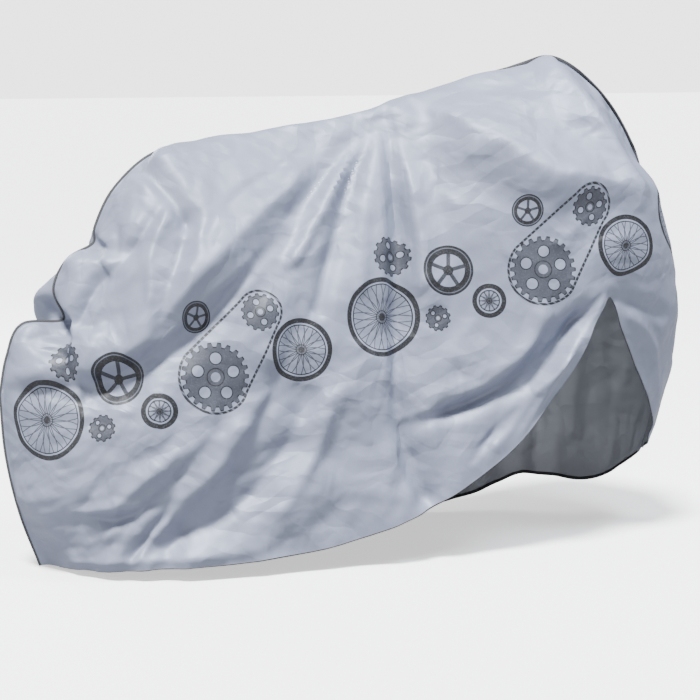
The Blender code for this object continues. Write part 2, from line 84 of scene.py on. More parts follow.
FLANK_CURVE = 1.4  # 1 is a straight flank, more is a hollow one
FILM_SHARP_ANGLE, BINDING_SHARP_ANGLE = math.radians(55), math.radians(50)


class Side(Enum):
    """Which side of the bicycle a panel hangs on; the value is the sign of its sideways axis."""

    NEAR = -1.0
    FAR = 1.0


class Profile(Enum):
    """Cross-section of a fold."""

    ROUND = "round"
    SHARP = "sharp"


@dataclass(frozen=True)
class Section:
    """A cut at one place on the seam, in millimetres.

    columns counts the solid's grid columns up to the next cut.
    """

    name: str
    columns: int
    seam: tuple
    crest: float
    crown: float


@dataclass(frozen=True)
class Fold:
    """A trough (negative height) or ridge (positive) along a route seen from the side, as (x, z) points.

    The fades are the shares of its height that it has at the route's start and end.
    """

    name: str
    route: tuple
    height: float
    width_start: float
    width_end: float
    fade_start: float
    fade_end: float
    profile: Profile = Profile.ROUND


@dataclass(frozen=True)
class Facet:
    """A crisp fold with straight flanks, along a route seen from the side, as (x, z) points.

    left and right are its flanks' widths beside the walk along the route; start and end scale it there.
    """

    name: str
    height: float
    left: float
    right: float
    start: float
    end: float
    route: tuple


@dataclass(frozen=True)
class Push:
    """A place where the film is pushed: centre (x, z), shift (x, y, z) and reach, in millimetres."""

    name: str
    centre: tuple
    shift: tuple
    reach: float


@dataclass(frozen=True)
class Pull:
    """How the film is drawn and crumpled near one place, whose centre (x, z) is in millimetres."""

    centre: tuple
    direction: float
    scatter: float
    strength: float


def metres(value: tuple | float) -> tuple | float:
    """A number of millimetres, or tuples of them, in metres."""
    return tuple(metres(part) for part in value) if isinstance(value, tuple) else value / 1000


def folds(*rows: tuple) -> tuple[Fold, ...]:
    """Folds from rows in millimetres: name, height, two widths, two fades, the route's points."""
    return tuple(Fold(row[0], metres(row[6:]), *metres(row[1:4]), *row[4:6]) for row in rows)


def facets(*rows: tuple) -> tuple[Facet, ...]:
    """Crisp folds from rows in millimetres: name, height, two flanks, two scales, the route's points."""
    return tuple(Facet(row[0], *metres(row[1:4]), *row[4:6], metres(row[6:])) for row in rows)


# name, columns, seam (x, y, z), crest (the film's rise beside the seam), crown (0 to 1, how level it starts)
SECTIONS = (
    Section("rear_edge", 2, (-880, 0, 425), 0, 0.0),
    Section("rear_low", 2, (-862, 0, 515), 0, 0.7),
    Section("lobe_end", 3, (-826, 0, 588), 0, 0.8),
    Section("notch", 2, (-724, 0, 596), 0, 0.9),
    Section("low_lobe", 2, (-746, 0, 672), 0, 0.9),
    Section("low_lobe_top", 2, (-712, 0, 740), 0, 0.9),
    Section("high_notch", 2, (-649, 0, 776), 0, 0.9),
    Section("high_lobe", 2, (-642, 0, 820), 0, 0.9),
    Section("rear_top", 3, (-596, 4, 905), 0, 0.9),
    Section("rear_round", 3, (-500, 20, 983), 8, 0.9),
    Section("rack", 4, (-390, 34, 999), 18, 0.9),
    Section("mid", 4, (-185, 34, 1031), 18, 0.9),
    Section("saddle", 4, (79, 28, 1086), 16, 0.8),
    Section("lap", 3, (299, 28, 1149), 16, 0.9),
    Section("stem", 3, (460, 14, 1192), 10, 0.9),
    Section("bar_top", 2, (544, 0, 1211), 0, 0.7),
    Section("bar_end", 3, (637, 0, 1162), 0, 0.3),
    Section("nose_side", 3, (721, 0, 1075), 0, 0.2),
    Section("nose_turn", 3, (790, 0, 950), 0, 0.4),
    Section("nose_low", 3, (835, 0, 800), 0, 0.5),
    Section("front_edge", 0, (858, 0, 620), 0, 0.0),
)

# one row per section: shoulder (x, w, z), waist (x, w, z), hem (x, w, z)
NEAR_SIDES = (
    ((-869, 0, 280), (-838, 0, 135), (-791, 0, 4)),
    ((-842, 70, 345), (-804, 95, 160), (-745, 100, 12)),
    ((-805, 115, 400), (-765, 150, 185), (-706, 155, 18)),
    ((-752, 150, 430), (-716, 190, 205), (-668, 198, 22)),
    ((-720, 160, 465), (-690, 205, 225), (-640, 220, 25)),
    ((-690, 168, 500), (-665, 215, 245), (-612, 240, 28)),
    ((-655, 172, 540), (-638, 225, 265), (-584, 254, 31)),
    ((-625, 176, 580), (-608, 232, 285), (-554, 266, 33)),
    ((-575, 186, 650), (-560, 242, 320), (-505, 280, 35)),
    ((-485, 190, 730), (-470, 250, 355), (-420, 288, 38)),
    ((-365, 186, 775), (-350, 255, 390), (-315, 291, 44)),
    ((-170, 170, 800), (-150, 250, 420), (-120, 290, 66)),
    ((65, 155, 830), (70, 245, 470), (90, 290, 132)),
    ((270, 200, 905), (270, 270, 570), (300, 290, 255)),
    ((425, 235, 955), (420, 285, 690), (455, 295, 430)),
    ((560, 250, 940), (555, 295, 785), (570, 290, 628)),
    ((652, 274, 905), (672, 288, 715), (622, 270, 546)),
    ((750, 210, 870), (778, 228, 640), (699, 220, 422)),
    ((815, 130, 750), (838, 155, 520), (772, 150, 300)),
    ((856, 60, 610), (860, 80, 410), (805, 75, 225)),
    ((870, 0, 480), (860, 0, 330), (822, 0, 190)),
)
FAR_SIDES = (
    ((-869, 0, 280), (-838, 0, 135), (-791, 0, 4)),
    ((-845, 60, 350), (-806, 90, 165), (-745, 100, 6)),
    ((-810, 100, 410), (-765, 140, 190), (-705, 150, 6)),
    ((-770, 130, 460), (-722, 175, 215), (-665, 190, 6)),
    ((-745, 142, 500), (-695, 190, 235), (-635, 210, 6)),
    ((-710, 150, 540), (-665, 200, 250), (-605, 228, 7)),
    ((-670, 156, 575), (-632, 208, 268), (-575, 243, 8)),
    ((-630, 162, 610), (-600, 215, 285), (-543, 255, 8)),
    ((-572, 168, 665), (-548, 225, 310), (-490, 268, 9)),
    ((-480, 172, 730), (-452, 236, 345), (-400, 278, 10)),
    ((-360, 168, 765), (-330, 244, 370), (-285, 285, 12)),
    ((-165, 155, 780), (-130, 240, 380), (-90, 290, 12)),
    ((75, 145, 810), (85, 235, 405), (110, 290, 12)),
    ((280, 190, 860), (290, 255, 440), (310, 285, 20)),
    ((430, 235, 920), (450, 275, 490), (470, 275, 45)),
    ((550, 255, 930), (560, 275, 500), (580, 265, 90)),
    ((640, 275, 900), (655, 270, 510), (665, 240, 85)),
    ((735, 205, 850), (745, 215, 480), (730, 190, 78)),
    ((800, 125, 740), (805, 145, 420), (775, 130, 95)),
    ((848, 60, 610), (845, 75, 370), (805, 65, 140)),
    ((870, 0, 480), (860, 0, 330), (822, 0, 190)),
)

# name, height, width at its start and end, fade at its start and end, route: the solids have these too
NEAR_FOLDS = folds(
    ("long_trough", -46, 36, 50, 0.6, 0.5, (-170, 900), (-330, 740), (-460, 610), (-580, 520), (-760, 460)),
    ("long_ridge", 20, 28, 28, 0.5, 0.8, (-230, 890), (-440, 740), (-590, 570), (-700, 530)),
    ("under_ridge", 20, 34, 34, 0.4, 0.6, (-120, 830), (-290, 690), (-420, 560), (-500, 460)),
    ("pleat_rear", -12, 22, 32, 0.5, 0.8, (40, 1050), (-60, 960), (-180, 840)),
    ("pleat_rear_ridge", 14, 22, 34, 0.6, 0.5, (50, 1050), (-30, 950), (-120, 820), (-180, 700)),
    ("pleat_dark", -20, 22, 38, 0.8, 0.5, (60, 1050), (0, 980), (-50, 890), (-100, 780), (-150, 640)),
    ("pleat_light", 15, 22, 34, 0.7, 0.5, (70, 1050), (40, 920), (10, 750), (-10, 550)),
    ("valley", -30, 24, 36, 0.6, 1.0, (80, 1050), (65, 870), (45, 660), (30, 450), (50, 310), (100, 160)),
    ("pleat_front", 14, 24, 36, 0.7, 0.4, (90, 1050), (110, 920), (120, 700), (150, 500)),
    ("bar_facet", 22, 50, 45, 0.5, 1.0, (200, 1100), (330, 1030), (380, 960), (460, 920), (640, 905)),
    ("under_facet", -16, 60, 50, 0.6, 1.0, (240, 920), (380, 840), (540, 810)),
    ("bar_crease", 14, 30, 30, 0.5, 1.0, (535, 1180), (580, 1060), (650, 910)),
    ("rear_crease", -18, 26, 32, 0.7, 0.7, (-520, 940), (-490, 890), (-470, 810), (-510, 710), (-550, 600)),
    ("rear_band", 16, 40, 45, 1.0, 0.6, (-440, 930), (-410, 840), (-440, 760)),
    ("rear_belly", 20, 40, 40, 0.8, 0.6, (-570, 860), (-580, 760), (-610, 660)),
    ("notch_pocket", -26, 26, 34, 1.0, 0.1, (-720, 610), (-690, 640), (-620, 670)),
    ("high_pocket", -16, 22, 26, 1.0, 0.1, (-650, 780), (-610, 780), (-560, 770)),
    ("lobe_roll", 18, 26, 28, 0.8, 0.4, (-820, 570), (-750, 570), (-680, 580)),
    ("lobe_dip", -14, 24, 26, 0.6, 0.6, (-830, 520), (-760, 510), (-660, 530)),
    ("tip_pocket", -46, 34, 34, 1.0, 0.2, (420, 600), (310, 490), (180, 410), (40, 340)),
    ("tip_dip", -14, 22, 24, 1.0, 0.5, (470, 600), (360, 460), (280, 360), (220, 270)),
    ("tip_ridge", 18, 26, 30, 0.6, 0.8, (520, 600), (400, 440), (310, 330), (220, 240)),
    ("tip_brow", 18, 26, 26, 0.8, 0.8, (340, 630), (460, 635), (560, 660)),
    ("big_trough", -40, 40, 52, 0.5, 1.0, (-200, 600), (-250, 430), (-320, 330), (-410, 240), (-520, 170)),
    ("big_ridge", 24, 40, 40, 0.6, 0.9, (-340, 460), (-460, 350), (-560, 260), (-670, 180)),
    ("low_trough", -22, 30, 32, 0.3, 1.0, (-200, 330), (-280, 270), (-400, 180), (-520, 120), (-620, 60)),
    ("low_ridge", 18, 30, 30, 0.4, 1.0, (-150, 400), (-250, 330), (-360, 240), (-480, 100)),
    ("corner_crease", -14, 24, 28, 0.6, 0.8, (-750, 150), (-670, 160), (-600, 200), (-530, 250)),
    ("mid_ridge", 18, 28, 30, 0.6, 0.6, (-190, 520), (-180, 420), (-140, 220)),
    ("hem_pocket", -18, 30, 30, 0.5, 1.0, (-20, 240), (-150, 180), (-280, 90)),
    ("lap_ridge", 18, 30, 30, 0.5, 1.0, (100, 400), (130, 280), (160, 180)),
    ("nose_dip", -14, 35, 35, 0.6, 1.0, (700, 800), (740, 620), (700, 460)),
)
FAR_FOLDS = folds(
    ("long_trough", -36, 40, 50, 0.6, 0.4, (-150, 920), (-320, 720), (-500, 560), (-720, 440)),
    ("long_ridge", 20, 36, 44, 0.5, 0.6, (-50, 900), (-220, 640), (-400, 440), (-600, 320)),
    ("pleat_rear", -18, 26, 44, 0.7, 0.6, (50, 1020), (-30, 840), (-90, 600), (-120, 360)),
    ("pleat_light", 13, 24, 40, 0.7, 0.5, (70, 1020), (50, 800), (20, 560), (-10, 340)),
    ("valley", -28, 26, 44, 0.6, 1.0, (90, 1020), (120, 800), (140, 500), (120, 100)),
    ("bar_facet", 16, 50, 45, 0.5, 1.0, (200, 1080), (340, 1000), (460, 930), (620, 900)),
    ("bar_crease", 12, 30, 30, 0.5, 1.0, (540, 1170), (580, 1050), (640, 910)),
    ("rear_belly", 24, 45, 50, 0.7, 0.8, (-600, 800), (-640, 660), (-700, 540)),
    ("hang_a", -22, 36, 40, 0.2, 1.0, (340, 800), (360, 500), (360, 60)),
    ("hang_b", 18, 36, 40, 0.3, 1.0, (460, 820), (480, 500), (500, 80)),
    ("hang_c", -18, 36, 40, 0.4, 1.0, (660, 840), (660, 500), (640, 100)),
    ("low_trough", -22, 38, 44, 0.4, 1.0, (-160, 300), (-320, 200), (-500, 60)),
    ("low_ridge", 14, 34, 40, 0.5, 1.0, (-300, 340), (-460, 240), (-620, 80)),
)

# name, centre (x, z), shift (x, y, z), reach
NEAR_PUSHES = (
    Push("nose_tuck", (700, 1030), (-12, 22, 0), 60),
    Push("shoulder_tuck", (715, 960), (-14, 16, 0), 50),
)
FAR_PUSHES = (
    Push("low_belly", (-745, 630), (-46, 10, 4), 60),
)

# name, height, width of the left and right flank, scale at its start and end, route
NEAR_FACETS = facets(
    ("long_ridge", 34, 80, 100, 0.5, 0.9, (-179, 923), (-288, 839), (-402, 747), (-497, 661), (-562, 589),
     (-610, 541), (-681, 500), (-760, 475)),
    ("long_valley", -30, 100, 90, 0.5, 1.0, (-149, 854), (-258, 767), (-374, 660), (-467, 577), (-548, 522),
     (-632, 466), (-716, 434)),
    ("long_second", 9, 25, 25, 0.4, 0.5, (-211, 808), (-312, 708), (-406, 617)),
    ("fan_a", -22, 26, 40, 0.3, 0.8, (53, 1069), (-62, 966), (-200, 850)),
    ("fan_b", 25, 18, 32, 0.36, 0.8, (53, 1065), (-54, 943), (-143, 827), (-213, 738)),
    ("fan_c", -28, 32, 24, 0.42, 0.8, (53, 1061), (-22, 955), (-76, 842), (-124, 733), (-161, 624)),
    ("fan_d", 18, 24, 26, 0.4, 0.7, (61, 1056), (9, 920), (-30, 779), (-49, 665)),
    ("fan_e", 22, 24, 24, 0.36, 0.6, (69, 1057), (46, 920), (29, 756)),
    ("fan_f", -40, 60, 34, 0.46, 1.0, (77, 1063), (61, 918), (57, 780), (51, 639), (42, 495), (41, 369),
     (53, 276), (88, 163)),
    ("fan_g", 16, 44, 26, 0.36, 0.8, (76, 1056), (103, 928), (105, 798), (105, 683)),
    ("facet_edge", 60, 150, 160, 0.12, 0.22, (152, 1107), (210, 1081), (255, 1046), (293, 1009), (333, 994),
     (378, 962), (435, 926), (528, 920), (609, 905), (686, 897)),
    ("facet_under", -10, 55, 90, 0.5, 0.8, (249, 935), (348, 876), (496, 851), (612, 861)),
    ("facet_side", 6, 50, 40, 0.3, 0.8, (605, 879), (518, 833), (442, 771)),
    ("bar_edge", 26, 60, 80, 0.6, 0.25, (528, 1200), (539, 1141), (566, 1084), (614, 998), (669, 905)),
    ("rear_line", -18, 50, 24, 1.0, 1.0, (-534, 953), (-509, 919), (-490, 887), (-464, 834)),
    ("rear_line_low", -18, 46, 30, 1.0, 0.4, (-464, 834), (-487, 764), (-514, 702), (-543, 621), (-556, 590)),
    ("rear_ridge", 18, 24, 34, 0.3, 0.5, (-494, 881), (-525, 812), (-553, 742), (-562, 657)),
    ("rear_ray", -14, 28, 24, 0.4, 1.0, (-507, 873), (-565, 806), (-603, 755), (-659, 697), (-718, 624)),
    ("rear_pocket", -6, 10, 22, 0.6, 0.6, (-615, 842), (-623, 777)),
    ("high_notch", -9, 14, 30, 1.0, 0.3, (-646, 774), (-628, 772), (-601, 777), (-549, 794)),
    ("low_lobe_top", 8, 22, 30, 0.8, 0.4, (-711, 732), (-661, 739), (-614, 745)),
    ("notch_ray", -10, 26, 26, 0.4, 0.3, (-733, 604), (-706, 641), (-659, 693), (-607, 712)),
    ("notch_low", -6, 34, 30, 0.5, 0.3, (-732, 594), (-676, 601), (-616, 621), (-571, 630)),
    ("lobe_roll", 6, 16, 20, 0.8, 0.8, (-826, 584), (-777, 590), (-743, 585)),
    ("lobe_dip", -8, 18, 24, 0.6, 0.8, (-820, 563), (-768, 574), (-732, 575)),
    ("lobe_facet", -8, 24, 20, 0.6, 0.5, (-823, 552), (-780, 536), (-727, 520)),
    ("lobe_edge", 8, 40, 40, 0.6, 0.5, (-854, 485), (-801, 499), (-739, 509), (-697, 526)),
    ("big_ridge", 32, 55, 60, 0.4, 0.8, (-296, 433), (-354, 363), (-403, 294), (-458, 235), (-511, 193)),
    ("big_valley", -42, 70, 85, 0.5, 0.8, (-191, 424), (-243, 322), (-323, 216), (-414, 149), (-502, 114),
     (-557, 72)),
    ("low_ridge", 6, 20, 60, 0.6, 0.5, (-450, 339), (-491, 311), (-538, 266), (-591, 249), (-632, 204),
     (-669, 178), (-709, 166), (-758, 161)),
    ("low_valley", -14, 46, 15, 0.5, 0.6, (-504, 263), (-551, 219), (-607, 176), (-653, 145), (-699, 145)),
    ("low_line", -16, 10, 26, 0.5, 0.8, (-531, 207), (-553, 158), (-590, 116), (-612, 85), (-629, 57)),
    ("low_light", 8, 30, 10, 0.5, 0.7, (-521, 172), (-567, 126), (-607, 66)),
    ("upright_line", -5, 10, 20, 0.5, 1.0, (-684, 252), (-680, 220), (-670, 177)),
    ("nick", -7, 10, 10, 0.5, 0.5, (-415, 241), (-378, 251), (-321, 256), (-278, 286)),
    ("mid_ridge", 17, 26, 46, 0.5, 0.6, (-165, 447), (-148, 386), (-174, 304), (-221, 232), (-266, 161)),
    ("mid_line", -9, 32, 8, 0.4, 0.4, (-162, 396), (-149, 321), (-152, 281), (-126, 206)),
    ("lap_ridge", 10, 22, 60, 0.5, 0.8, (24, 305), (3, 212), (-7, 155), (11, 103)),
    ("lap_low", 7, 60, 30, 0.4, 0.6, (-318, 76), (-232, 130), (-111, 189), (33, 168)),
    ("hem_light", 5, 8, 8, 0.4, 0.8, (-293, 192), (-282, 86)),
    ("tip_edge", 17, 20, 70, 0.8, 0.4, (405, 586), (372, 530), (307, 473), (200, 409), (95, 378)),
    ("tip_valley", -34, 40, 60, 1.0, 0.3, (499, 581), (422, 509), (347, 449), (259, 401), (157, 364),
     (83, 341)),
    ("tip_band", 19, 50, 22, 0.6, 0.5, (552, 617), (499, 541), (430, 458), (360, 402), (313, 356),
     (265, 277)),
    ("tip_brow", 14, 42, 20, 0.6, 0.6, (385, 589), (438, 588), (483, 603), (530, 631)),
    ("tip_pocket", -10, 22, 14, 0.5, 0.6, (320, 362), (280, 322), (240, 272)),
    ("lap_wave", -5, 12, 20, 0.5, 0.4, (177, 471), (203, 456), (249, 447), (302, 448), (355, 493)),
    ("lap_tick", -7, 22, 12, 0.8, 0.4, (41, 363), (108, 384), (135, 378)),
    ("nose_line", -14, 42, 22, 0.5, 0.8, (592, 624), (637, 610), (698, 593), (751, 574)),
    ("nose_ridge", 8, 20, 24, 0.4, 0.5, (633, 580), (693, 541), (746, 469), (772, 374)),
    ("lap_corner", -6, 14, 14, 0.5, 0.6, (208, 239), (251, 293), (294, 318)),
    ("long_inner", 9, 14, 26, 0.4, 0.5, (-275, 792), (-351, 725), (-442, 657), (-527, 583), (-593, 541)),
    ("long_tail", -26, 60, 36, 0.7, 0.9, (-571, 531), (-658, 482), (-743, 462), (-827, 442)),
    ("upper_a", -10, 44, 20, 0.3, 0.6, (-151, 990), (-261, 927), (-352, 870), (-429, 794)),
    ("upper_b", 9, 24, 40, 0.4, 0.6, (-379, 962), (-415, 872), (-442, 781), (-484, 693)),
    ("upper_c", 7, 20, 30, 0.4, 0.5, (-71, 1017), (-164, 945), (-236, 877)),
    ("mid_a", -16, 30, 50, 0.5, 0.6, (-213, 580), (-254, 487), (-315, 373), (-383, 296)),
    ("low_a", -9, 40, 20, 0.5, 0.6, (-712, 100), (-650, 152), (-566, 184), (-464, 195)),
    ("hem_fold", 13, 18, 26, 0.6, 0.5, (547, 620), (463, 513), (404, 403), (341, 313)),
    ("band_line", -14, 20, 24, 0.8, 0.4, (480, 580), (425, 492), (365, 421), (282, 303)),
    ("brow_low", 14, 26, 50, 0.6, 0.6, (392, 584), (353, 510), (288, 442), (187, 407), (48, 359)),
    ("hem_roll", 16, 40, 24, 0.7, 0.3, (-734, 37), (-665, 47), (-573, 54), (-454, 55), (-339, 68)),
    ("low_tick", 11, 24, 16, 0.6, 0.6, (-749, 163), (-675, 174), (-604, 182)),
    ("low_rise", 8, 40, 20, 0.6, 0.5, (-670, 177), (-587, 245), (-526, 300)),
    ("tick_a", -3, 8, 8, 0.4, 0.4, (133, 1048), (174, 1043)),
    ("tick_b", -3, 8, 8, 0.4, 0.4, (218, 1034), (249, 1044)),
    ("tick_c", -3, 8, 8, 0.4, 0.4, (342, 970), (366, 963)),
    ("tick_d", -3, 8, 8, 0.4, 0.4, (525, 1012), (585, 1033)),
    ("tick_e", -3, 9, 9, 0.4, 0.4, (384, 863), (445, 876)),
)
FAR_FACETS = facets(
    ("long_ridge", 18, 80, 34, 0.5, 0.7, (-100, 920), (-260, 790), (-420, 650), (-600, 520), (-740, 470)),
    ("long_valley", -26, 34, 80, 0.5, 0.6, (-80, 880), (-240, 730), (-400, 590), (-580, 470), (-720, 420)),
    ("fan_a", -18, 40, 30, 0.12, 0.9, (60, 1070), (-20, 900), (-80, 660), (-120, 440)),
    ("fan_b", 14, 30, 30, 0.12, 0.9, (68, 1070), (30, 860), (0, 620)),
    ("fan_c", -24, 40, 60, 0.12, 1.0, (78, 1070), (100, 840), (130, 520), (120, 120)),
    ("fan_d", 12, 30, 50, 0.12, 0.9, (88, 1070), (170, 860), (230, 600)),
    ("facet_edge", 18, 110, 70, 0.4, 0.8, (200, 1080), (310, 1010), (420, 940), (540, 925), (670, 900)),
    ("bar_edge", 13, 40, 80, 0.7, 0.8, (530, 1200), (570, 1080), (650, 910)),
    ("hang_a", -22, 50, 40, 0.2, 1.0, (330, 840), (360, 560), (360, 300), (355, 50)),
    ("hang_b", 18, 40, 50, 0.2, 1.0, (450, 840), (480, 540), (500, 80)),
    ("hang_c", -20, 50, 36, 0.3, 1.0, (620, 860), (650, 520), (630, 100)),
    ("hang_d", 12, 30, 40, 0.3, 0.8, (720, 800), (740, 520), (720, 200)),
    ("rear_line", -12, 50, 30, 1.0, 0.5, (-530, 950), (-490, 850), (-530, 720), (-600, 600)),
    ("low_ridge", 18, 60, 50, 0.4, 0.8, (-240, 420), (-400, 300), (-580, 160)),
    ("low_valley", -26, 50, 60, 0.4, 1.0, (-140, 320), (-300, 200), (-440, 60)),
    ("notch_ray", -14, 24, 24, 0.7, 0.3, (-720, 610), (-680, 660), (-610, 680)),
)

# centre (x, z), direction and scatter in degrees, how crumpled the film is there
NEAR_PULLS = (
    Pull((-100, 920), 48.0, 10.0, 0.8), Pull((40, 800), 84.0, 8.0, 0.8),
    Pull((200, 950), 118.0, 20.0, 0.45), Pull((400, 1080), 30.0, 35.0, 0.4),
    Pull((600, 1000), 112.0, 24.0, 0.45), Pull((-300, 1000), 60.0, 24.0, 0.6),
    Pull((-450, 850), 72.0, 26.0, 1.0), Pull((-600, 700), 62.0, 40.0, 1.2),
    Pull((-450, 620), 42.0, 14.0, 0.7), Pull((-750, 500), 8.0, 24.0, 1.1),
    Pull((-550, 280), 36.0, 18.0, 1.3), Pull((-250, 350), 52.0, 18.0, 1.4),
    Pull((50, 350), 80.0, 18.0, 0.9), Pull((300, 450), 50.0, 14.0, 0.6),
    Pull((450, 700), 20.0, 40.0, 0.5), Pull((720, 700), 92.0, 16.0, 0.6),
)
FAR_PULLS = (
    Pull((-100, 850), 55.0, 18.0, 0.9), Pull((80, 750), 88.0, 14.0, 0.9),
    Pull((250, 850), 108.0, 22.0, 0.6), Pull((450, 450), 90.0, 14.0, 0.7),
    Pull((600, 1000), 110.0, 26.0, 0.6), Pull((-450, 700), 44.0, 24.0, 1.1),
    Pull((-600, 300), 40.0, 26.0, 1.3), Pull((-200, 250), 60.0, 26.0, 1.2),
    Pull((720, 600), 90.0, 18.0, 0.7),
)


def hermite(stations: Array, values: Array, slopes: Array, where: Array) -> Array:
    """Cubic Hermite interpolation of rows of values.

    Args:
        stations: Rising places of the known values.
        values: One row per station.
        slopes: One row of slopes per station.
        where: Places asked for.

    Returns:
        One row per place.
    """
    piece = np.clip(np.searchsorted(stations, where, side="right") - 1, 0, len(stations) - 2)
    width = (stations[piece + 1] - stations[piece])[:, None]
    f = ((where - stations[piece])[:, None]) / width
    return (values[piece] * (2 * f ** 3 - 3 * f ** 2 + 1) + slopes[piece] * width * (f ** 3 - 2 * f ** 2 + f)
            + values[piece + 1] * (3 * f ** 2 - 2 * f ** 3) + slopes[piece + 1] * width * (f ** 3 - f ** 2))


def spline(stations: Array, values: Array, where: Array) -> Array:
    """A smooth curve through rows of values, with slopes that don't overshoot much.

    Args:
        stations: Rising places of the known values.
        values: One row per station.
        where: Places asked for.

    Returns:
        One row per place.
    """
    stations = np.asarray(stations, float)
    values = np.asarray(values, float)
    steps = np.diff(stations)
    rises = np.diff(values, axis=0) / steps[:, None]
    slopes = np.empty_like(values)
    slopes[0], slopes[-1] = rises[0], rises[-1]
    before, after = steps[:-1, None], steps[1:, None]
    slopes[1:-1] = (rises[:-1] * after + rises[1:] * before) / (before + after)
    return hermite(stations, values, slopes, where)


def smooth_step(f: Array) -> Array:
    """Ease from 0 to 1 as f goes from 0 to 1."""
    f = np.clip(f, 0.0, 1.0)
    return f * f * (3 - 2 * f)


def unit(vectors: Array) -> Array:
    """The vectors along the last axis, each made 1 long."""
    return vectors / np.maximum(np.linalg.norm(vectors, axis=-1), 1e-9)[..., None]


def walked(line: Array) -> Array:
    """How far along a line each of its points is."""
    return np.concatenate(((0.0,), np.cumsum(np.linalg.norm(np.diff(line, axis=0), axis=1))))


def rows_at(where: Array, stations: Array, rows: Array) -> Array:
    """Rows of three values at the places asked for, from rows known at rising stations."""
    return np.stack([np.interp(where, stations, rows[:, k]) for k in range(3)], axis=-1)


def smoothed(values: Array, reach: int) -> Array:
    """Each value's mean with as many of its neighbours to both sides as reach says."""
    count = 2 * reach + 1
    return np.convolve(np.pad(values, reach, mode="edge"), np.full(count, 1 / count), mode="valid")


def flat_strip(along: Array, across: Array) -> Array:
    """Flat coordinates of a strip's points, row by row across it."""
    return np.stack(np.broadcast_arrays(along[:, None], across[None, :]), axis=-1).reshape(-1, 2)


def grid_normals(grid: Array, side: Side) -> Array:
    """Unit normals of a grid (column, row, xyz), pointing out of the cover."""
    return unit(np.cross(np.gradient(grid, axis=0), np.gradient(grid, axis=1)) * side.value)


def grid_quads(columns: int, count: int) -> Array:
    """Corner numbers of the quads of a grid whose columns hold count points each."""
    corner = (np.arange(columns - 1)[:, None] * count + np.arange(count - 1)).reshape(-1)
    return np.stack((corner, corner + count, corner + count + 1, corner + 1), axis=1)


@dataclass(frozen=True)
class Beside:
    """How the points near a route lie beside it, one entry per point."""

    close: Array  # which points of the whole grid these are
    share: Array  # how far along the route, from 0 to 1
    distance: Array
    run: Array  # the way the route runs there
    away: Array  # the way from the route to the point


def beside(route: tuple, reach: float, x: Array, z: Array) -> Beside:
    """Find how the points (x, z) near a route lie beside it.

    Args:
        route: Points (x, z) that a smooth curve is drawn through.
        reach: How far outside the curve's own span points still count as near.
        x: Places along the bicycle.
        z: Heights above the ground.

    Returns:
        The near points' places.
    """
    curve = spline(np.linspace(0, 1, len(route)), route, np.linspace(0, 1, ROUTE_STEPS + 1))
    low, high = curve.min(0) - reach, curve.max(0) + reach
    close = (x > low[0]) & (x < high[0]) & (z > low[1]) & (z < high[1])
    points = np.stack((x[close], z[close]), -1)[:, None, :]
    starts, runs = curve[:-1], np.diff(curve, axis=0)
    along = np.clip(((points - starts) * runs).sum(-1) / (runs ** 2).sum(-1), 0, 1)
    offset = points - (starts + along[..., None] * runs)
    distance = np.linalg.norm(offset, axis=-1)
    nearest = distance.argmin(-1)
    row = np.arange(len(nearest))
    share = (nearest + along[row, nearest]) / ROUTE_STEPS
    return Beside(close, share, distance[row, nearest], runs[nearest], offset[row, nearest])


def full_between(share: Array, taper: float) -> Array:
    """Ease from 0 to 1 and back over a taper at each end of a route."""
    return smooth_step(share / taper) * smooth_step((1 - share) / taper)


def fold_height(fold: Fold, x: Array, z: Array) -> Array:
    """Height of one fold over the points (x, z) of the side view.

    Args:
        fold: The fold.
        x: Places along the bicycle.
        z: Heights above the ground.

    Returns:
        An array shaped like x.
    """
    sharp = fold.profile is Profile.SHARP
    reach = FOLD_REACH * max(fold.width_start, fold.width_end) * (CREASE_REACH if sharp else 1.0)
    place = beside(fold.route, reach, x, z)
    near = place.distance / (fold.width_start + (fold.width_end - fold.width_start) * place.share)
    fade = fold.fade_start + (fold.fade_end - fold.fade_start) * place.share
    if sharp:
        fade = fade + (1 - fade) * full_between(place.share, CREASE_TAPER) * CREASE_BODY
        shape = np.exp(CREASE_ROUND - np.sqrt(near ** 2 + CREASE_ROUND ** 2))
    else:
        shape = np.exp(-near ** 2)
    height = np.zeros_like(x)
    height[place.close] = fold.height * fade * shape
    return height


def facet_height(facet: Facet, x: Array, z: Array) -> Array:
    """Height of one crisp fold over the points (x, z) of the side view.

    Args:
        facet: The fold.
        x: Places along the bicycle.
        z: Heights above the ground.

    Returns:
        An array shaped like x.
    """
    reach = FACET_REACH * max(facet.left, facet.right) * max(facet.start, facet.end, 1.0)
    place = beside(facet.route, reach, x, z)
    run, away = place.run, place.away
    turn = (run[:, 0] * away[:, 1] - run[:, 1] * away[:, 0]) / np.linalg.norm(run, axis=1)
    lean = 0.5 + 0.5 * np.clip(turn / np.maximum(place.distance, 1e-6), -1, 1)
    scale = facet.start + (facet.end - facet.start) * place.share
    scale = scale + (np.maximum(scale, 1.0) - scale) * full_between(place.share, FACET_TAPER)
    width = facet.right + (facet.left - facet.right) * lean
    width = width * (FACET_END_WIDTH + (1 - FACET_END_WIDTH) * scale)
    slack = 1 - (np.sqrt(place.distance ** 2 + CREST_ROUND ** 2) - CREST_ROUND) / width
    soft = (slack + np.sqrt(slack ** 2 + FOOT_ROUND)) / 2
    height = np.zeros_like(x)
    height[place.close] = FACET_SHARE * facet.height * scale * soft ** FLANK_CURVE
    return height


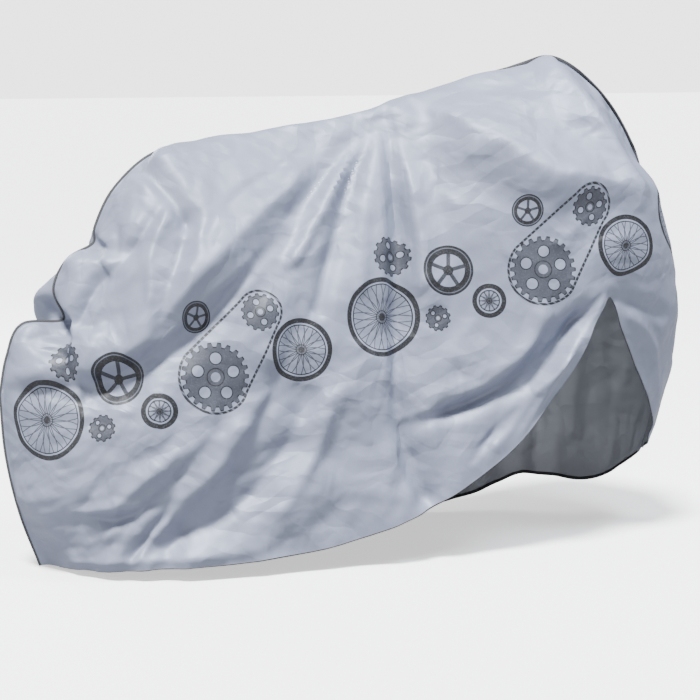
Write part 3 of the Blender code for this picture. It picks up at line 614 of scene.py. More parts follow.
def soften(height: Array) -> Array:
    """Blend each height of a grid with its neighbours, so that crests across the grid stay unbroken.

    Args:
        height: Heights on a grid.

    Returns:
        The blended heights.
    """
    for axis in (0, 1):
        padded = np.pad(height, [(1, 1) if axis == k else (0, 0) for k in (0, 1)], mode="edge")
        before, after = (padded[:-2], padded[2:]) if axis == 0 else (padded[:, :-2], padded[:, 2:])
        height = (before + 2 * height + after) / 4
    return height


class Graph:
    """Short-hand for wiring a material's nodes."""

    def __init__(self, name: str) -> None:
        """Start a material with a Principled shader.

        Args:
            name: Name of the material.
        """
        self.material = bpy.data.materials.new(name)
        self.material.use_nodes = True
        self.tree = self.material.node_tree
        self.shader = self.tree.nodes["Principled BSDF"]

    def add(self, kind: str, **settings: object) -> bpy.types.Node:
        """Add a node.

        Args:
            kind: Its type.
            **settings: Its own properties.

        Returns:
            The node.
        """
        node = self.tree.nodes.new(kind)
        for key, value in settings.items():
            setattr(node, key, value)
        return node

    def feed(self, socket: Socket, value: object) -> None:
        """Link a value into an input, or set the input to it.

        Args:
            socket: The input.
            value: An output, a number or a vector.
        """
        if isinstance(value, Socket):
            self.tree.links.new(value, socket)
        else:
            socket.default_value = value

    def math(self, operation: str, *values: object) -> Socket:
        """Wire a Math node.

        Args:
            operation: What it does.
            *values: Its inputs, as sockets or numbers.

        Returns:
            Its result.
        """
        node = self.add("ShaderNodeMath", operation=operation)
        for socket, value in zip(node.inputs, values):
            self.feed(socket, value)
        return node.outputs[0]

    def chain(self, operation: str, *values: object) -> Socket:
        """Take one Math operation over any number of values in turn.

        Args:
            operation: What each node does.
            *values: Sockets or numbers.

        Returns:
            The last result.
        """
        result = values[0]
        for value in values[1:]:
            result = self.math(operation, result, value)
        return result

    def total(self, *values: object) -> Socket:
        """Sum of sockets and numbers."""
        return self.chain("ADD", *values)

    def product(self, *values: object) -> Socket:
        """Product of sockets and numbers."""
        return self.chain("MULTIPLY", *values)

    def most(self, *values: object) -> Socket:
        """The largest of sockets and numbers."""
        return self.chain("MAXIMUM", *values)

    def within(self, value: object, low: float, high: float) -> Socket:
        """A value held between two numbers."""
        return self.math("MINIMUM", self.math("MAXIMUM", value, low), high)

    def length(self, x: object, y: object) -> Socket:
        """Length of the vector (x, y)."""
        return self.math("SQRT", self.math("ADD", self.math("POWER", x, 2.0), self.math("POWER", y, 2.0)))

    def ramp(self, value: object, low: float, high: float, start: float = 0.0, end: float = 1.0) -> Socket:
        """Ease a value from one range to another.

        Args:
            value: The value.
            low: Where the range starts.
            high: Where it ends.
            start: The result at low and below.
            end: The result at high and above.

        Returns:
            The result.
        """
        node = self.add("ShaderNodeMapRange", interpolation_type="SMOOTHSTEP")
        for name, number in (("Value", value), ("From Min", low), ("From Max", high), ("To Min", start),
                             ("To Max", end)):
            self.feed(node.inputs[name], number)
        return node.outputs["Result"]

    def blend(self, factor: object, first: object, second: object) -> Socket:
        """Mix two colours.

        Args:
            factor: Share of the second colour.
            first: A socket, or a tuple (red, green, blue).
            second: The same.

        Returns:
            The mixed colour.
        """
        node = self.add("ShaderNodeMix", data_type="RGBA")
        self.feed(node.inputs["Factor"], factor)
        for name, colour in (("A", first), ("B", second)):
            self.feed(node.inputs[name], (*colour, 1.0) if isinstance(colour, tuple) else colour)
        return node.outputs["Result"]

    def noise(self, place: object, scale: float, detail: float = 2.0, rough: float = 0.5) -> Socket:
        """Wire a noise texture.

        Args:
            place: Coordinates in metres.
            scale: Its scale per metre.
            detail: Its finer layers.
            rough: How strong they are.

        Returns:
            Its factor.
        """
        node = self.add("ShaderNodeTexNoise")
        self.feed(node.inputs["Vector"], place)
        for name, number in (("Scale", scale), ("Detail", detail), ("Roughness", rough)):
            node.inputs[name].default_value = number
        return node.outputs["Fac"]

    def bump(self, height: object, distance: float, below: object = None) -> Socket:
        """Wire a Bump node.

        Args:
            height: The height.
            distance: Metres to one unit of height.
            below: A normal that it lies on.

        Returns:
            Its normal.
        """
        node = self.add("ShaderNodeBump")
        node.inputs["Distance"].default_value = distance
        self.feed(node.inputs["Height"], height)
        if below is not None:
            self.feed(node.inputs["Normal"], below)
        return node.outputs["Normal"]

    def shift(self, place: object, by: object, amount: float) -> Socket:
        """Move a place.

        Args:
            place: The place.
            by: A colour or vector.
            amount: How many times it is added.

        Returns:
            The moved place.
        """
        scale = self.add("ShaderNodeVectorMath", operation="SCALE")
        self.feed(scale.inputs[0], by)
        scale.inputs["Scale"].default_value = amount
        add = self.add("ShaderNodeVectorMath", operation="ADD")
        self.feed(add.inputs[0], place)
        self.feed(add.inputs[1], scale.outputs[0])
        return add.outputs[0]

    def split(self, place: object) -> tuple[Socket, Socket]:
        """Take a place apart.

        Args:
            place: Socket of the place.

        Returns:
            Its first and second coordinate.
        """
        node = self.add("ShaderNodeSeparateXYZ")
        self.feed(node.inputs[0], place)
        return node.outputs[0], node.outputs[1]

    def flat_place(self) -> Socket:
        """Coordinates on the piece laid flat, in metres."""
        return self.add("ShaderNodeUVMap", uv_map=FLAT_LAYER).outputs["UV"]

    def solid_place(self) -> Socket:
        """Coordinates in the part's frame, in metres."""
        return self.add("ShaderNodeTexCoord").outputs["Object"]

    def finish(self, colour: object, roughness: object, normal: object, **sockets: object) -> Material:
        """Wire the shader and set its unlinked sockets.

        Args:
            colour: Base colour.
            roughness: Roughness.
            normal: Shading normal.
            **sockets: Values of other sockets, with underscores for spaces.

        Returns:
            The material.
        """
        self.feed(self.shader.inputs["Base Color"], colour)
        self.feed(self.shader.inputs["Roughness"], roughness)
        self.feed(self.shader.inputs["Normal"], normal)
        for name, value in sockets.items():
            self.shader.inputs[name.replace("_", " ").title().replace("Ior", "IOR")].default_value = value
        return self.material


@dataclass(frozen=True)
class Motif:
    """A round printed shape, placed on the band in metres."""

    x: float
    y: float
    radius: float

    def polar(self, graph: Graph, along: object, up: object) -> tuple[Socket, Socket]:
        """Distance and angle of a place on the band from the shape's middle."""
        dx, dy = graph.math("SUBTRACT", along, self.x), graph.math("SUBTRACT", up, self.y)
        return graph.length(dx, dy), graph.math("ARCTAN2", dy, dx)

    def ink(self, graph: Graph, along: object, up: object) -> Socket:
        """Ink cover of the shape, from 0 to 1.

        Args:
            graph: The material being wired.
            along: Place along the band.
            up: Place above the band's middle line.

        Returns:
            A socket.
        """
        raise NotImplementedError


@dataclass(frozen=True)
class SpokedWheel(Motif):
    """A printed wheel in outline, with crossed spokes; lines are half widths in metres."""

    spokes: int = 18
    tyre_line: float = 0.0058
    rim_inset: float = 0.011
    rim_line: float = 0.0014
    hub: float = 0.10  # this and the next are shares of the radius
    hub_ring: float = 0.17
    ring_line: float = 0.0012
    spoke_line: float = 0.0011
    spoke_swirl: float = 0.9
    spoke_ink: float = 0.85
    shade: float = 0.14

    def ink(self, graph: Graph, along: object, up: object) -> Socket:
        """Ink cover of the wheel; see Motif."""
        r, angle = self.polar(graph, along, up)
        turns = graph.math("DIVIDE", angle, math.tau / self.spokes)
        crossings = []
        for swirl in (self.spoke_swirl, -self.spoke_swirl):
            twisted = graph.math("MULTIPLY_ADD", r, swirl / self.radius, turns)
            gap = graph.product(graph.math("PINGPONG", twisted, 0.5), math.tau / self.spokes, r)
            crossings.append(graph.math("LESS_THAN", gap, self.spoke_line))
        inside = graph.math("LESS_THAN", r, self.radius - self.rim_inset)
        return graph.most(graph.math("COMPARE", r, self.radius, self.tyre_line),
                          graph.math("COMPARE", r, self.radius - self.rim_inset, self.rim_line),
                          graph.math("LESS_THAN", r, self.radius * self.hub),
                          graph.math("COMPARE", r, self.radius * self.hub_ring, self.ring_line),
                          graph.product(graph.most(*crossings), inside, self.spoke_ink),
                          graph.product(inside, self.shade))


@dataclass(frozen=True)
class BroadWheel(Motif):
    """A printed wheel with a broad dark tyre and a few thick spokes; sizes are shares of its radius."""

    spokes: int = 5
    tyre_middle: float = 0.82
    tyre_half: float = 0.17
    groove: float = 0.88
    groove_line: float = 0.0011  # half width in metres
    groove_fade: float = 0.45
    spoke_half: float = 0.075
    spoke_reach: float = 0.66
    spoke_ink: float = 0.9
    hub: float = 0.20

    def ink(self, graph: Graph, along: object, up: object) -> Socket:
        """Ink cover of the wheel; see Motif."""
        r, angle = self.polar(graph, along, up)
        tyre = graph.math("COMPARE", r, self.radius * self.tyre_middle, self.radius * self.tyre_half)
        groove = graph.math("COMPARE", r, self.radius * self.groove, self.groove_line)
        tyre = graph.product(tyre, graph.math("MULTIPLY_ADD", groove, -self.groove_fade, 1.0))
        turns = graph.product(angle, self.spokes / math.tau)
        gap = graph.product(graph.math("PINGPONG", turns, 0.5), math.tau / self.spokes, r)
        spoke = graph.math("LESS_THAN", gap, self.radius * self.spoke_half)
        inside = graph.math("LESS_THAN", r, self.radius * self.spoke_reach)
        hub = graph.math("LESS_THAN", r, self.radius * self.hub)
        return graph.most(tyre, hub, graph.product(spoke, inside, self.spoke_ink))


@dataclass(frozen=True)
class Cog(Motif):
    """A printed toothed wheel with round holes; sizes are shares of its radius, lines are in metres."""

    teeth: int = 16
    holes: int = 5
    tooth_height: float = 0.065
    tooth_flatness: float = 2.4
    hole_place: float = 0.58
    hole: float = 0.19
    bore: float = 0.15
    ring: float = 0.27
    fill_ink: float = 0.80
    line: float = 0.0013
    outline: float = 0.0016
    outline_inset: float = 0.0015

    def ink(self, graph: Graph, along: object, up: object) -> Socket:
        """Ink cover of the cog; see Motif."""
        r, angle = self.polar(graph, along, up)
        wave = graph.product(graph.math("COSINE", graph.product(angle, self.teeth)), self.tooth_flatness)
        tip = graph.math("MULTIPLY_ADD", graph.within(wave, -1.0, 1.0), self.radius * self.tooth_height,
                         self.radius)
        inset = graph.math("SUBTRACT", tip, r)
        body = graph.math("GREATER_THAN", inset, 0.0)
        outline = graph.math("COMPARE", inset, self.outline_inset, self.outline)
        turn = graph.math("PINGPONG", graph.product(angle, self.holes / math.tau), 0.5)
        turn = graph.product(turn, math.tau / self.holes)
        across = graph.math("SUBTRACT", graph.product(r, graph.math("COSINE", turn)),
                            self.radius * self.hole_place)
        hole = graph.length(across, graph.product(r, graph.math("SINE", turn)))
        solid = graph.math("GREATER_THAN", hole, self.radius * self.hole)
        edge = graph.math("COMPARE", hole, self.radius * self.hole, self.line)
        bore = graph.math("GREATER_THAN", r, self.radius * self.bore)
        ring = graph.math("COMPARE", r, self.radius * self.ring, self.line)
        return graph.most(graph.product(body, solid, bore, self.fill_ink),
                          graph.product(graph.most(outline, edge, ring), body))


@dataclass(frozen=True)
class Chain:
    """A printed chain drawn taut round two cogs, placed on the band in metres."""

    first: tuple
    second: tuple
    first_radius: float
    second_radius: float
    link: float = 0.0125
    half_width: float = 0.0030
    pin_share: float = 0.16
    gap_ink: float = 0.55

    def ink(self, graph: Graph, along: object, up: object) -> Socket:
        """Ink cover of the chain; see Motif."""
        run = (self.second[0] - self.first[0], self.second[1] - self.first[1])
        length = math.hypot(*run)
        dx = graph.math("SUBTRACT", along, self.first[0])
        dy = graph.math("SUBTRACT", up, self.first[1])
        share = graph.math("MULTIPLY_ADD", dy, run[1] / length ** 2, graph.product(dx, run[0] / length ** 2))
        held = graph.within(share, 0.0, 1.0)
        off = graph.length(graph.math("MULTIPLY_ADD", held, -run[0], dx),
                           graph.math("MULTIPLY_ADD", held, -run[1], dy))
        radius = graph.math("MULTIPLY_ADD", held, self.second_radius - self.first_radius, self.first_radius)
        band = graph.math("COMPARE", off, radius, self.half_width)
        step = graph.math("PINGPONG", graph.product(share, length / self.link), 0.5)
        links = graph.math("GREATER_THAN", step, self.pin_share)
        return graph.product(band, graph.math("MULTIPLY_ADD", links, 1 - self.gap_ink, self.gap_ink))


@dataclass(frozen=True)
class PrintedBand:
    """A row of printed wheels, cogs and a chain that repeats along the panel."""

    start: float = -0.06
    repeat: float = 0.86
    motifs: tuple = (
        SpokedWheel(0.106, -0.040, 0.090), Cog(0.178, 0.094, 0.046, teeth=14, holes=4),
        BroadWheel(0.296, 0.020, 0.062), Cog(0.238, -0.084, 0.030, teeth=12, holes=3),
        SpokedWheel(0.372, -0.078, 0.036, spokes=12), Chain((0.520, -0.042), (0.672, 0.070), 0.085, 0.052),
        Cog(0.520, -0.042, 0.076, teeth=22), Cog(0.672, 0.070, 0.043, teeth=14, holes=4),
        SpokedWheel(0.742, -0.048, 0.070, spokes=16), BroadWheel(0.520, 0.105, 0.038),
    )

    def ink(self, graph: Graph, place: object) -> Socket:
        """Ink cover over the film, from 0 to 1.

        Args:
            graph: The material being wired.
            place: Coordinates on the flat film, in metres.

        Returns:
            A socket.
        """
        x, y = graph.split(place)
        along = graph.math("WRAP", graph.math("SUBTRACT", x, self.start), self.repeat, 0.0)
        return graph.most(*[motif.ink(graph, along, y) for motif in self.motifs])


@dataclass(frozen=True)
class CreaseSet:
    """Parallel creases seen from the side: their direction in degrees, spacing in metres and slope."""

    direction: float
    length: float
    slope: float


@dataclass(frozen=True)
class FilmFinish:
    """Silver-grey satin film, creased from its packing; scales count per metre."""

    name: str
    light: tuple
    dark: tuple
    roughness: float
    ink_colour: tuple = ()
    band: PrintedBand | None = None
    crease_sets: tuple = (
        CreaseSet(-38.0, 0.130, 0.085), CreaseSet(12.0, 0.103, 0.080), CreaseSet(61.0, 0.117, 0.080),
        CreaseSet(-72.0, 0.081, 0.070), CreaseSet(33.0, 0.060, 0.055), CreaseSet(86.0, 0.047, 0.045),
        CreaseSet(-15.0, 0.036, 0.040),
    )
    crease_tilt: float = 0.6  # sideways travel of each set, so that it also crosses the ends and the top
    crease_phase: float = 0.37  # how far each set is moved past the one before it
    patch_step: float = 3.1  # how far apart in the noise the sets' patches are taken
    patch_start: float = 0.7
    patch_scale: float = 0.40  # patches per spacing of the creases in them
    patch_fade: tuple = (0.48, 0.60)
    wander: float = 0.10  # how far in metres the creases stray from straight
    wander_scale: float = 7.0
    cloud_scale: float = 3.0
    cloud_fade: tuple = (0.3, 0.7)
    cloud_tone: float = 0.82
    speckle_scale: float = 900.0
    speckle_tone: float = 0.18
    wear_scale: float = 260.0
    wear_fade: tuple = (0.30, 0.52)
    worn_ink: float = 0.84  # the ink's cover where it is most worn
    rough_scale: float = 14.0
    rough_spread: float = 0.16
    grain_scale: float = 1400.0
    grain_height: float = 0.00006
    metallic: float = 0.10
    specular: float = 0.45

    def creases(self, graph: Graph, place: object) -> Socket:
        """Height in metres of flat facets between crisp creases, in patches that come and go.

        Args:
            graph: The material being wired.
            place: Coordinates in the cover, in metres.

        Returns:
            A socket.
        """
        warp = graph.add("ShaderNodeTexNoise")
        graph.feed(warp.inputs["Vector"], place)
        warp.inputs["Scale"].default_value = self.wander_scale
        bent = graph.shift(place, warp.outputs["Color"], self.wander)
        parts = []
        for number, creases in enumerate(self.crease_sets):
            angle, length = math.radians(creases.direction), creases.length
            tilt = -self.crease_tilt if number % 2 else self.crease_tilt
            dot = graph.add("ShaderNodeVectorMath", operation="DOT_PRODUCT")
            graph.feed(dot.inputs[0], bent)
            dot.inputs[1].default_value = (math.cos(angle) / length, tilt / length, math.sin(angle) / length)
            phase = graph.math("ADD", dot.outputs["Value"], self.crease_phase * number)
            moved = graph.shift(place, (1.0, 1.0, 1.0), self.patch_step * number + self.patch_start)
            patch = graph.ramp(graph.noise(moved, self.patch_scale / length), *self.patch_fade)
            parts.append(graph.product(graph.math("PINGPONG", phase, 0.5), patch, length * creases.slope))
        return graph.total(*parts)

    def material(self) -> Material:
        """Wire the film: the print on the flat map, all else on Object coordinates in metres.

        Returns:
            The film's material.
        """
        graph = Graph(self.name)
        place = graph.solid_place()
        cloud = graph.ramp(graph.noise(place, self.cloud_scale, 3.0), *self.cloud_fade, 0.0, self.cloud_tone)
        speckle = graph.noise(place, self.speckle_scale, 1.0)
        tone = graph.math("MULTIPLY_ADD", speckle, self.speckle_tone, cloud)
        colour = graph.blend(tone, self.dark, self.light)
        if self.band is not None:
            wear = graph.noise(place, self.wear_scale, 3.0, 0.7)
            wear = graph.ramp(wear, *self.wear_fade, self.worn_ink, 1.0)
            ink = graph.product(self.band.ink(graph, graph.flat_place()), wear)
            colour = graph.blend(ink, colour, self.ink_colour)
        roughness = graph.math("MULTIPLY_ADD", graph.noise(place, self.rough_scale, 3.0), self.rough_spread,
                               self.roughness - self.rough_spread / 2)
        normal = graph.bump(self.creases(graph, place), 1.0)
        normal = graph.bump(graph.noise(place, self.grain_scale, 1.0), self.grain_height, normal)
        return graph.finish(colour, roughness, normal, metallic=self.metallic,
                            specular_ior_level=self.specular)


@dataclass(frozen=True)
class TapeFinish:
    """Matt black woven tape, ribbed across its width; scales count per metre."""

    name: str
    dark: tuple = (0.012, 0.012, 0.013)
    light: tuple = (0.034, 0.034, 0.037)
    roughness: float = 0.72
    rough_spread: float = 0.14
    rib_pitch: float = 0.0011  # metres along the tape
    yarn_pitch: float = 0.0009  # metres across it
    weave_height: float = 0.0002
    weave_tone: float = 0.3
    dust_scale: float = 60.0
    dust_tone: float = 0.7
    pucker_scale: float = 120.0
    pucker_height: float = 0.0006
    sheen: float = 0.25
    sheen_roughness: float = 0.5

    def material(self) -> Material:
        """Wire the tape on its flat coordinates (along, across) in metres.

        Returns:
            The tape's material.
        """
        graph = Graph(self.name)
        place = graph.flat_place()
        along, across = graph.split(place)
        ribs = graph.math("SINE", graph.product(along, math.tau / self.rib_pitch))
        yarns = graph.math("SINE", graph.product(across, math.tau / self.yarn_pitch))
        weave = graph.math("MULTIPLY_ADD", graph.product(ribs, yarns), 0.5, 0.5)
        dust = graph.noise(place, self.dust_scale, 4.0, 0.6)
        tone = graph.math("MULTIPLY_ADD", dust, self.dust_tone, graph.product(weave, self.weave_tone))
        roughness = graph.math("MULTIPLY_ADD", dust, self.rough_spread,
                               self.roughness - self.rough_spread / 2)
        normal = graph.bump(graph.noise(place, self.pucker_scale), self.pucker_height)
        normal = graph.bump(weave, self.weave_height, normal)
        return graph.finish(graph.blend(tone, self.dark, self.light), roughness, normal,
                            sheen_weight=self.sheen, sheen_roughness=self.sheen_roughness)


@dataclass(frozen=True)
class ThreadFinish:
    """Twisted sewing thread."""

    name: str
    dark: tuple
    light: tuple
    fibre_scale: float = 1800.0  # per metre
    fibre_height: float = 0.0001
    roughness: tuple = (0.55, 0.75)

    def material(self) -> Material:
        """Wire the thread on Object coordinates.

        Returns:
            The thread's material.
        """
        graph = Graph(self.name)
        fibre = graph.noise(graph.solid_place(), self.fibre_scale, 2.0, 0.6)
        colour = graph.blend(fibre, self.dark, self.light)
        roughness = graph.ramp(fibre, 0.2, 0.8, *self.roughness)
        return graph.finish(colour, roughness, graph.bump(fibre, self.fibre_height))


@dataclass(frozen=True)
class FloorFinish:
    """Pale studio floor: bounce is what it gives back to the cover, and lift how far it glows to the eye."""

    name: str
    colour: tuple = (0.90, 0.90, 0.90)
    bounce: tuple = (0.30, 0.30, 0.31)
    lift: float = 0.85
    grain_scale: float = 40.0  # per metre
    grain_height: float = 0.0002
    grain_tone: float = 0.985  # the darker grain's share of the colour
    roughness: float = 0.75
    specular: float = 0.2

    def material(self) -> Material:
        """Wire the floor on Object coordinates.

        Returns:
            The floor's material.
        """
        graph = Graph(self.name)
        grain = graph.noise(graph.solid_place(), self.grain_scale, 3.0)
        seen = graph.add("ShaderNodeLightPath").outputs["Is Camera Ray"]
        colour = graph.blend(grain, tuple(self.grain_tone * c for c in self.colour), self.colour)
        colour = graph.blend(seen, self.bounce, colour)
        graph.feed(graph.shader.inputs["Emission Strength"], graph.product(seen, self.lift))
        return graph.finish(colour, self.roughness, graph.bump(grain, self.grain_height),
                            specular_ior_level=self.specular, emission_color=(1.0, 1.0, 1.0, 1.0))


@dataclass(frozen=True)
class FacetSize:
    """One size of the flat facets that crumpled film breaks into; stretch is their length by their width."""

    count: int
    half_width: float
    stretch: float
    height: float


@dataclass(frozen=True)
class SmallCreases:
    """How many small creases a panel has, and how their sizes are drawn, in metres."""

    count: int = 260
    sizes: tuple = (1.2, 3.2)  # of the beta distribution that sizes are drawn from: most are small
    shortest: float = 0.02
    longest: float = 0.22
    bow: float = 0.12  # share of its length by which a crease is bent
    highest: float = 0.0045
    lowest_share: float = 0.22  # height of the smallest by the highest
    height_draw: tuple = (0.3, 1.0)
    narrowest: float = 0.006
    widening: float = 0.008
    width_draw: tuple = (0.6, 1.2)


@dataclass(frozen=True)
class Swell:
    """Slow waves over the whole film."""

    waves: int = 26
    lengths: tuple = (0.09, 0.30)
    slope: float = 0.0020


@dataclass(frozen=True)
class Crumple:
    """Flat facets and small creases scattered over a panel, turned the way the film is drawn."""

    seed: int
    pulls: tuple
    sizes: tuple = (FacetSize(60, 0.085, 1.9, 0.0130), FacetSize(190, 0.045, 2.1, -0.0060),
                    FacetSize(600, 0.022, 2.3, 0.0012))
    ceiling: float = 1.6  # where a facet's flank ends, in its half widths
    least: tuple = (0.7, 0.7, 0.2, 0.0)  # of a facet's left and right slopes, bevel and start
    most: tuple = (1.4, 1.4, 0.9, 0.45)
    reach: float = 0.15
    creases: SmallCreases = SmallCreases()
    waves: Swell = Swell()

    def shares(self, x: Array, z: Array) -> Array:
        """How much each pull counts at the points (x, z).

        Args:
            x: Places along the bicycle.
            z: Heights above the ground.

        Returns:
            Shares (pull, column, row).
        """
        centres = [metres(pull.centre) for pull in self.pulls]
        away = np.stack([(x - across) ** 2 + (z - up) ** 2 for across, up in centres])
        share = np.exp(-away / self.reach ** 2) + 1e-9
        return share / share.sum(0)

    def strength(self, x: Array, z: Array) -> Array:
        """How crumpled the film is at the points (x, z)."""
        return np.tensordot([pull.strength for pull in self.pulls], self.shares(x, z), 1)

    def angle(self, centre: tuple, draws: np.random.Generator) -> float:
        """Angle in radians at which a crease runs, drawn around the nearest pull's."""
        near = min(self.pulls, key=lambda pull: math.dist(metres(pull.centre), centre))
        return math.radians(near.direction + near.scatter * draws.normal())

    def facets(self, x: Array, z: Array) -> Array:
        """Heights of the facets over the points (x, z).

        Args:
            x: Places along the bicycle.
            z: Heights above the ground.

        Returns:
            An array shaped like x.
        """
        draws = np.random.default_rng(self.seed)
        total = np.zeros_like(x)
        for size in self.sizes:
            low = np.full(x.shape, self.ceiling)
            for spot in draws.integers(0, x.size, size.count):
                centre = (x.flat[spot], z.flat[spot])
                angle = self.angle(centre, draws)
                left, right, bevel, start = draws.uniform(self.least, self.most)
                dx, dz = (x - centre[0]) / size.half_width, (z - centre[1]) / size.half_width
                along = np.abs(dx * math.cos(angle) + dz * math.sin(angle)) / size.stretch
                across = dz * math.cos(angle) - dx * math.sin(angle)
                flank = np.maximum(across * left, -across * right)
                low = np.minimum(low, np.maximum(flank, np.abs(across) * bevel + along) + start)
            total += size.height * (low - low.mean())
        return total * self.strength(x, z)

    def folds(self, x: Array, z: Array) -> list[Fold]:
        """Scattered small creases over the points (x, z).

        Args:
            x: Places along the bicycle.
            z: Heights above the ground.

        Returns:
            The creases.
        """
        draws = np.random.default_rng(self.seed + 1)
        span = self.creases
        made = []
        for number, spot in enumerate(draws.integers(0, x.size, span.count)):
            centre = np.array((x.flat[spot], z.flat[spot]))
            size = draws.beta(*span.sizes)
            angle = self.angle(tuple(centre), draws)
            run = np.array((math.cos(angle), math.sin(angle))) * (span.shortest + span.longest * size) / 2
            bow = np.array((-run[1], run[0])) * draws.normal() * span.bow
            height = span.highest * (span.lowest_share + (1 - span.lowest_share) * size)
            height *= draws.uniform(*span.height_draw) * draws.choice((-1.0, 1.0))
            width = span.narrowest + span.widening * size * draws.uniform(*span.width_draw)
            route = (tuple(centre - run), tuple(centre + bow), tuple(centre + run))
            made.append(Fold(f"small_{number}", route, height, width, width, 0.0, 0.0, Profile.SHARP))
        return made

    def swell(self, flat: Array) -> Array:
        """Slow unevenness of the film.

        Args:
            flat: Coordinates on the flat film (column, row, uv).

        Returns:
            Heights (column, row).
        """
        draws = np.random.default_rng(self.seed + 2)
        height = np.zeros(flat.shape[:2])
        for _ in range(self.waves.waves):
            length = draws.uniform(*self.waves.lengths)
            angle = draws.uniform(0, math.pi)
            wave = np.array((math.cos(angle), math.sin(angle))) * math.tau / length
            height += length * self.waves.slope * np.sin(flat @ wave + draws.uniform(0, math.tau))
        return height


@dataclass(frozen=True)
class Settling:
    """How the film is let go after folding, so that it keeps its length and its creases sharpen."""

    passes: int = 50
    surplus: float = 0.02
    pull: float = 0.19  # how strongly the springs draw
    stiffness: float = 0.004  # against bending
    hold: float = 0.05  # towards the folded shape
    step: float = 0.5
    carried: float = 0.85  # share of its speed that a point keeps
    free_edge: float = 0.03

    def bending(self, grid: Array) -> Array:
        """Measure how the film bends.

        Args:
            grid: Points of the film.

        Returns:
            For each inner point, the way from it to the middle of its four neighbours.
        """
        bend = np.zeros_like(grid)
        bend[1:-1, 1:-1] = (grid[2:, 1:-1] + grid[:-2, 1:-1] + grid[1:-1, 2:]
                            + grid[1:-1, :-2]) / 4 - grid[1:-1, 1:-1]
        return bend

    def run(self, grid: Array, away: Array) -> Array:
        """Ease the springs between neighbouring points, whose rest lengths are a little over the grid's.

        Args:
            grid: Points (column, row, xyz).
            away: Distance of each point from the seam.

        Returns:
            The settled points.
        """
        rests = [np.linalg.norm(grid[b] - grid[a], axis=-1) * (1 + self.surplus) for a, b in LINKS]
        free = smooth_step(away / self.free_edge)[..., None]
        points, speed = grid.copy(), np.zeros_like(grid)
        for _ in range(self.passes):
            move = np.zeros_like(points)
            for (a, b), rest in zip(LINKS, rests):
                gap = points[b] - points[a]
                length = np.sqrt((gap * gap).sum(-1))
                shift = gap * ((length - rest) / length / 2)[..., None]
                move[a] += shift
                move[b] -= shift
            kink = self.bending(self.bending(points))
            step = move * self.pull - kink * self.stiffness + (grid - points) * self.hold
            speed = self.carried * speed + step * free * self.step
            points = points + speed
        return points


def flat_pattern(grid: Array) -> Array:
    """Lay a grid out flat from the line that the printed band follows.

    Args:
        grid: Points (column, row, xyz), each column running down from the seam.

    Returns:
        Flat coordinates (column, row, uv) in metres: along the band, and above it.
    """
    rise = grid[..., 2] - BAND_CENTRE[1] - math.tan(BAND_SLOPE) * (grid[..., 0] - BAND_CENTRE[0])
    reach = np.array([walked(column) for column in grid])
    meets, points, slants = [], [], []
    for column, height, way in zip(grid, rise, reach):
        below = np.flatnonzero((height[:-1] > 0) & (height[1:] <= 0))
        if below.size:
            k = below[0]
            meet = way[k] + (way[k + 1] - way[k]) * height[k] / (height[k] - height[k + 1])
        else:
            meet = height[0] * way[-1] / (height[0] - height[-1])
        near = np.clip(meet, BAND_PROBE, way[-1] - BAND_PROBE)
        above, at, under = rows_at(near + np.array((-BAND_PROBE, 0.0, BAND_PROBE)), way, column)
        meets.append(meet)
        points.append(at)
        slants.append((under - above) / (2 * BAND_PROBE))
    points, slants = np.array(points), np.array(slants)
    run = np.gradient(points, axis=0)
    across = np.clip((slants * run).sum(1) / np.linalg.norm(run, axis=1), -BAND_SLANT, BAND_SLANT)
    across = smoothed(across, SLANT_SMOOTHING)[:, None]
    along = walked(points)
    along -= np.interp(BAND_CENTRE[0], points[:, 0], along)
    down = reach - smoothed(meets, MEET_SMOOTHING)[:, None]
    return np.stack((along[:, None] + across * down, -np.sqrt(1 - across ** 2) * down), axis=-1)


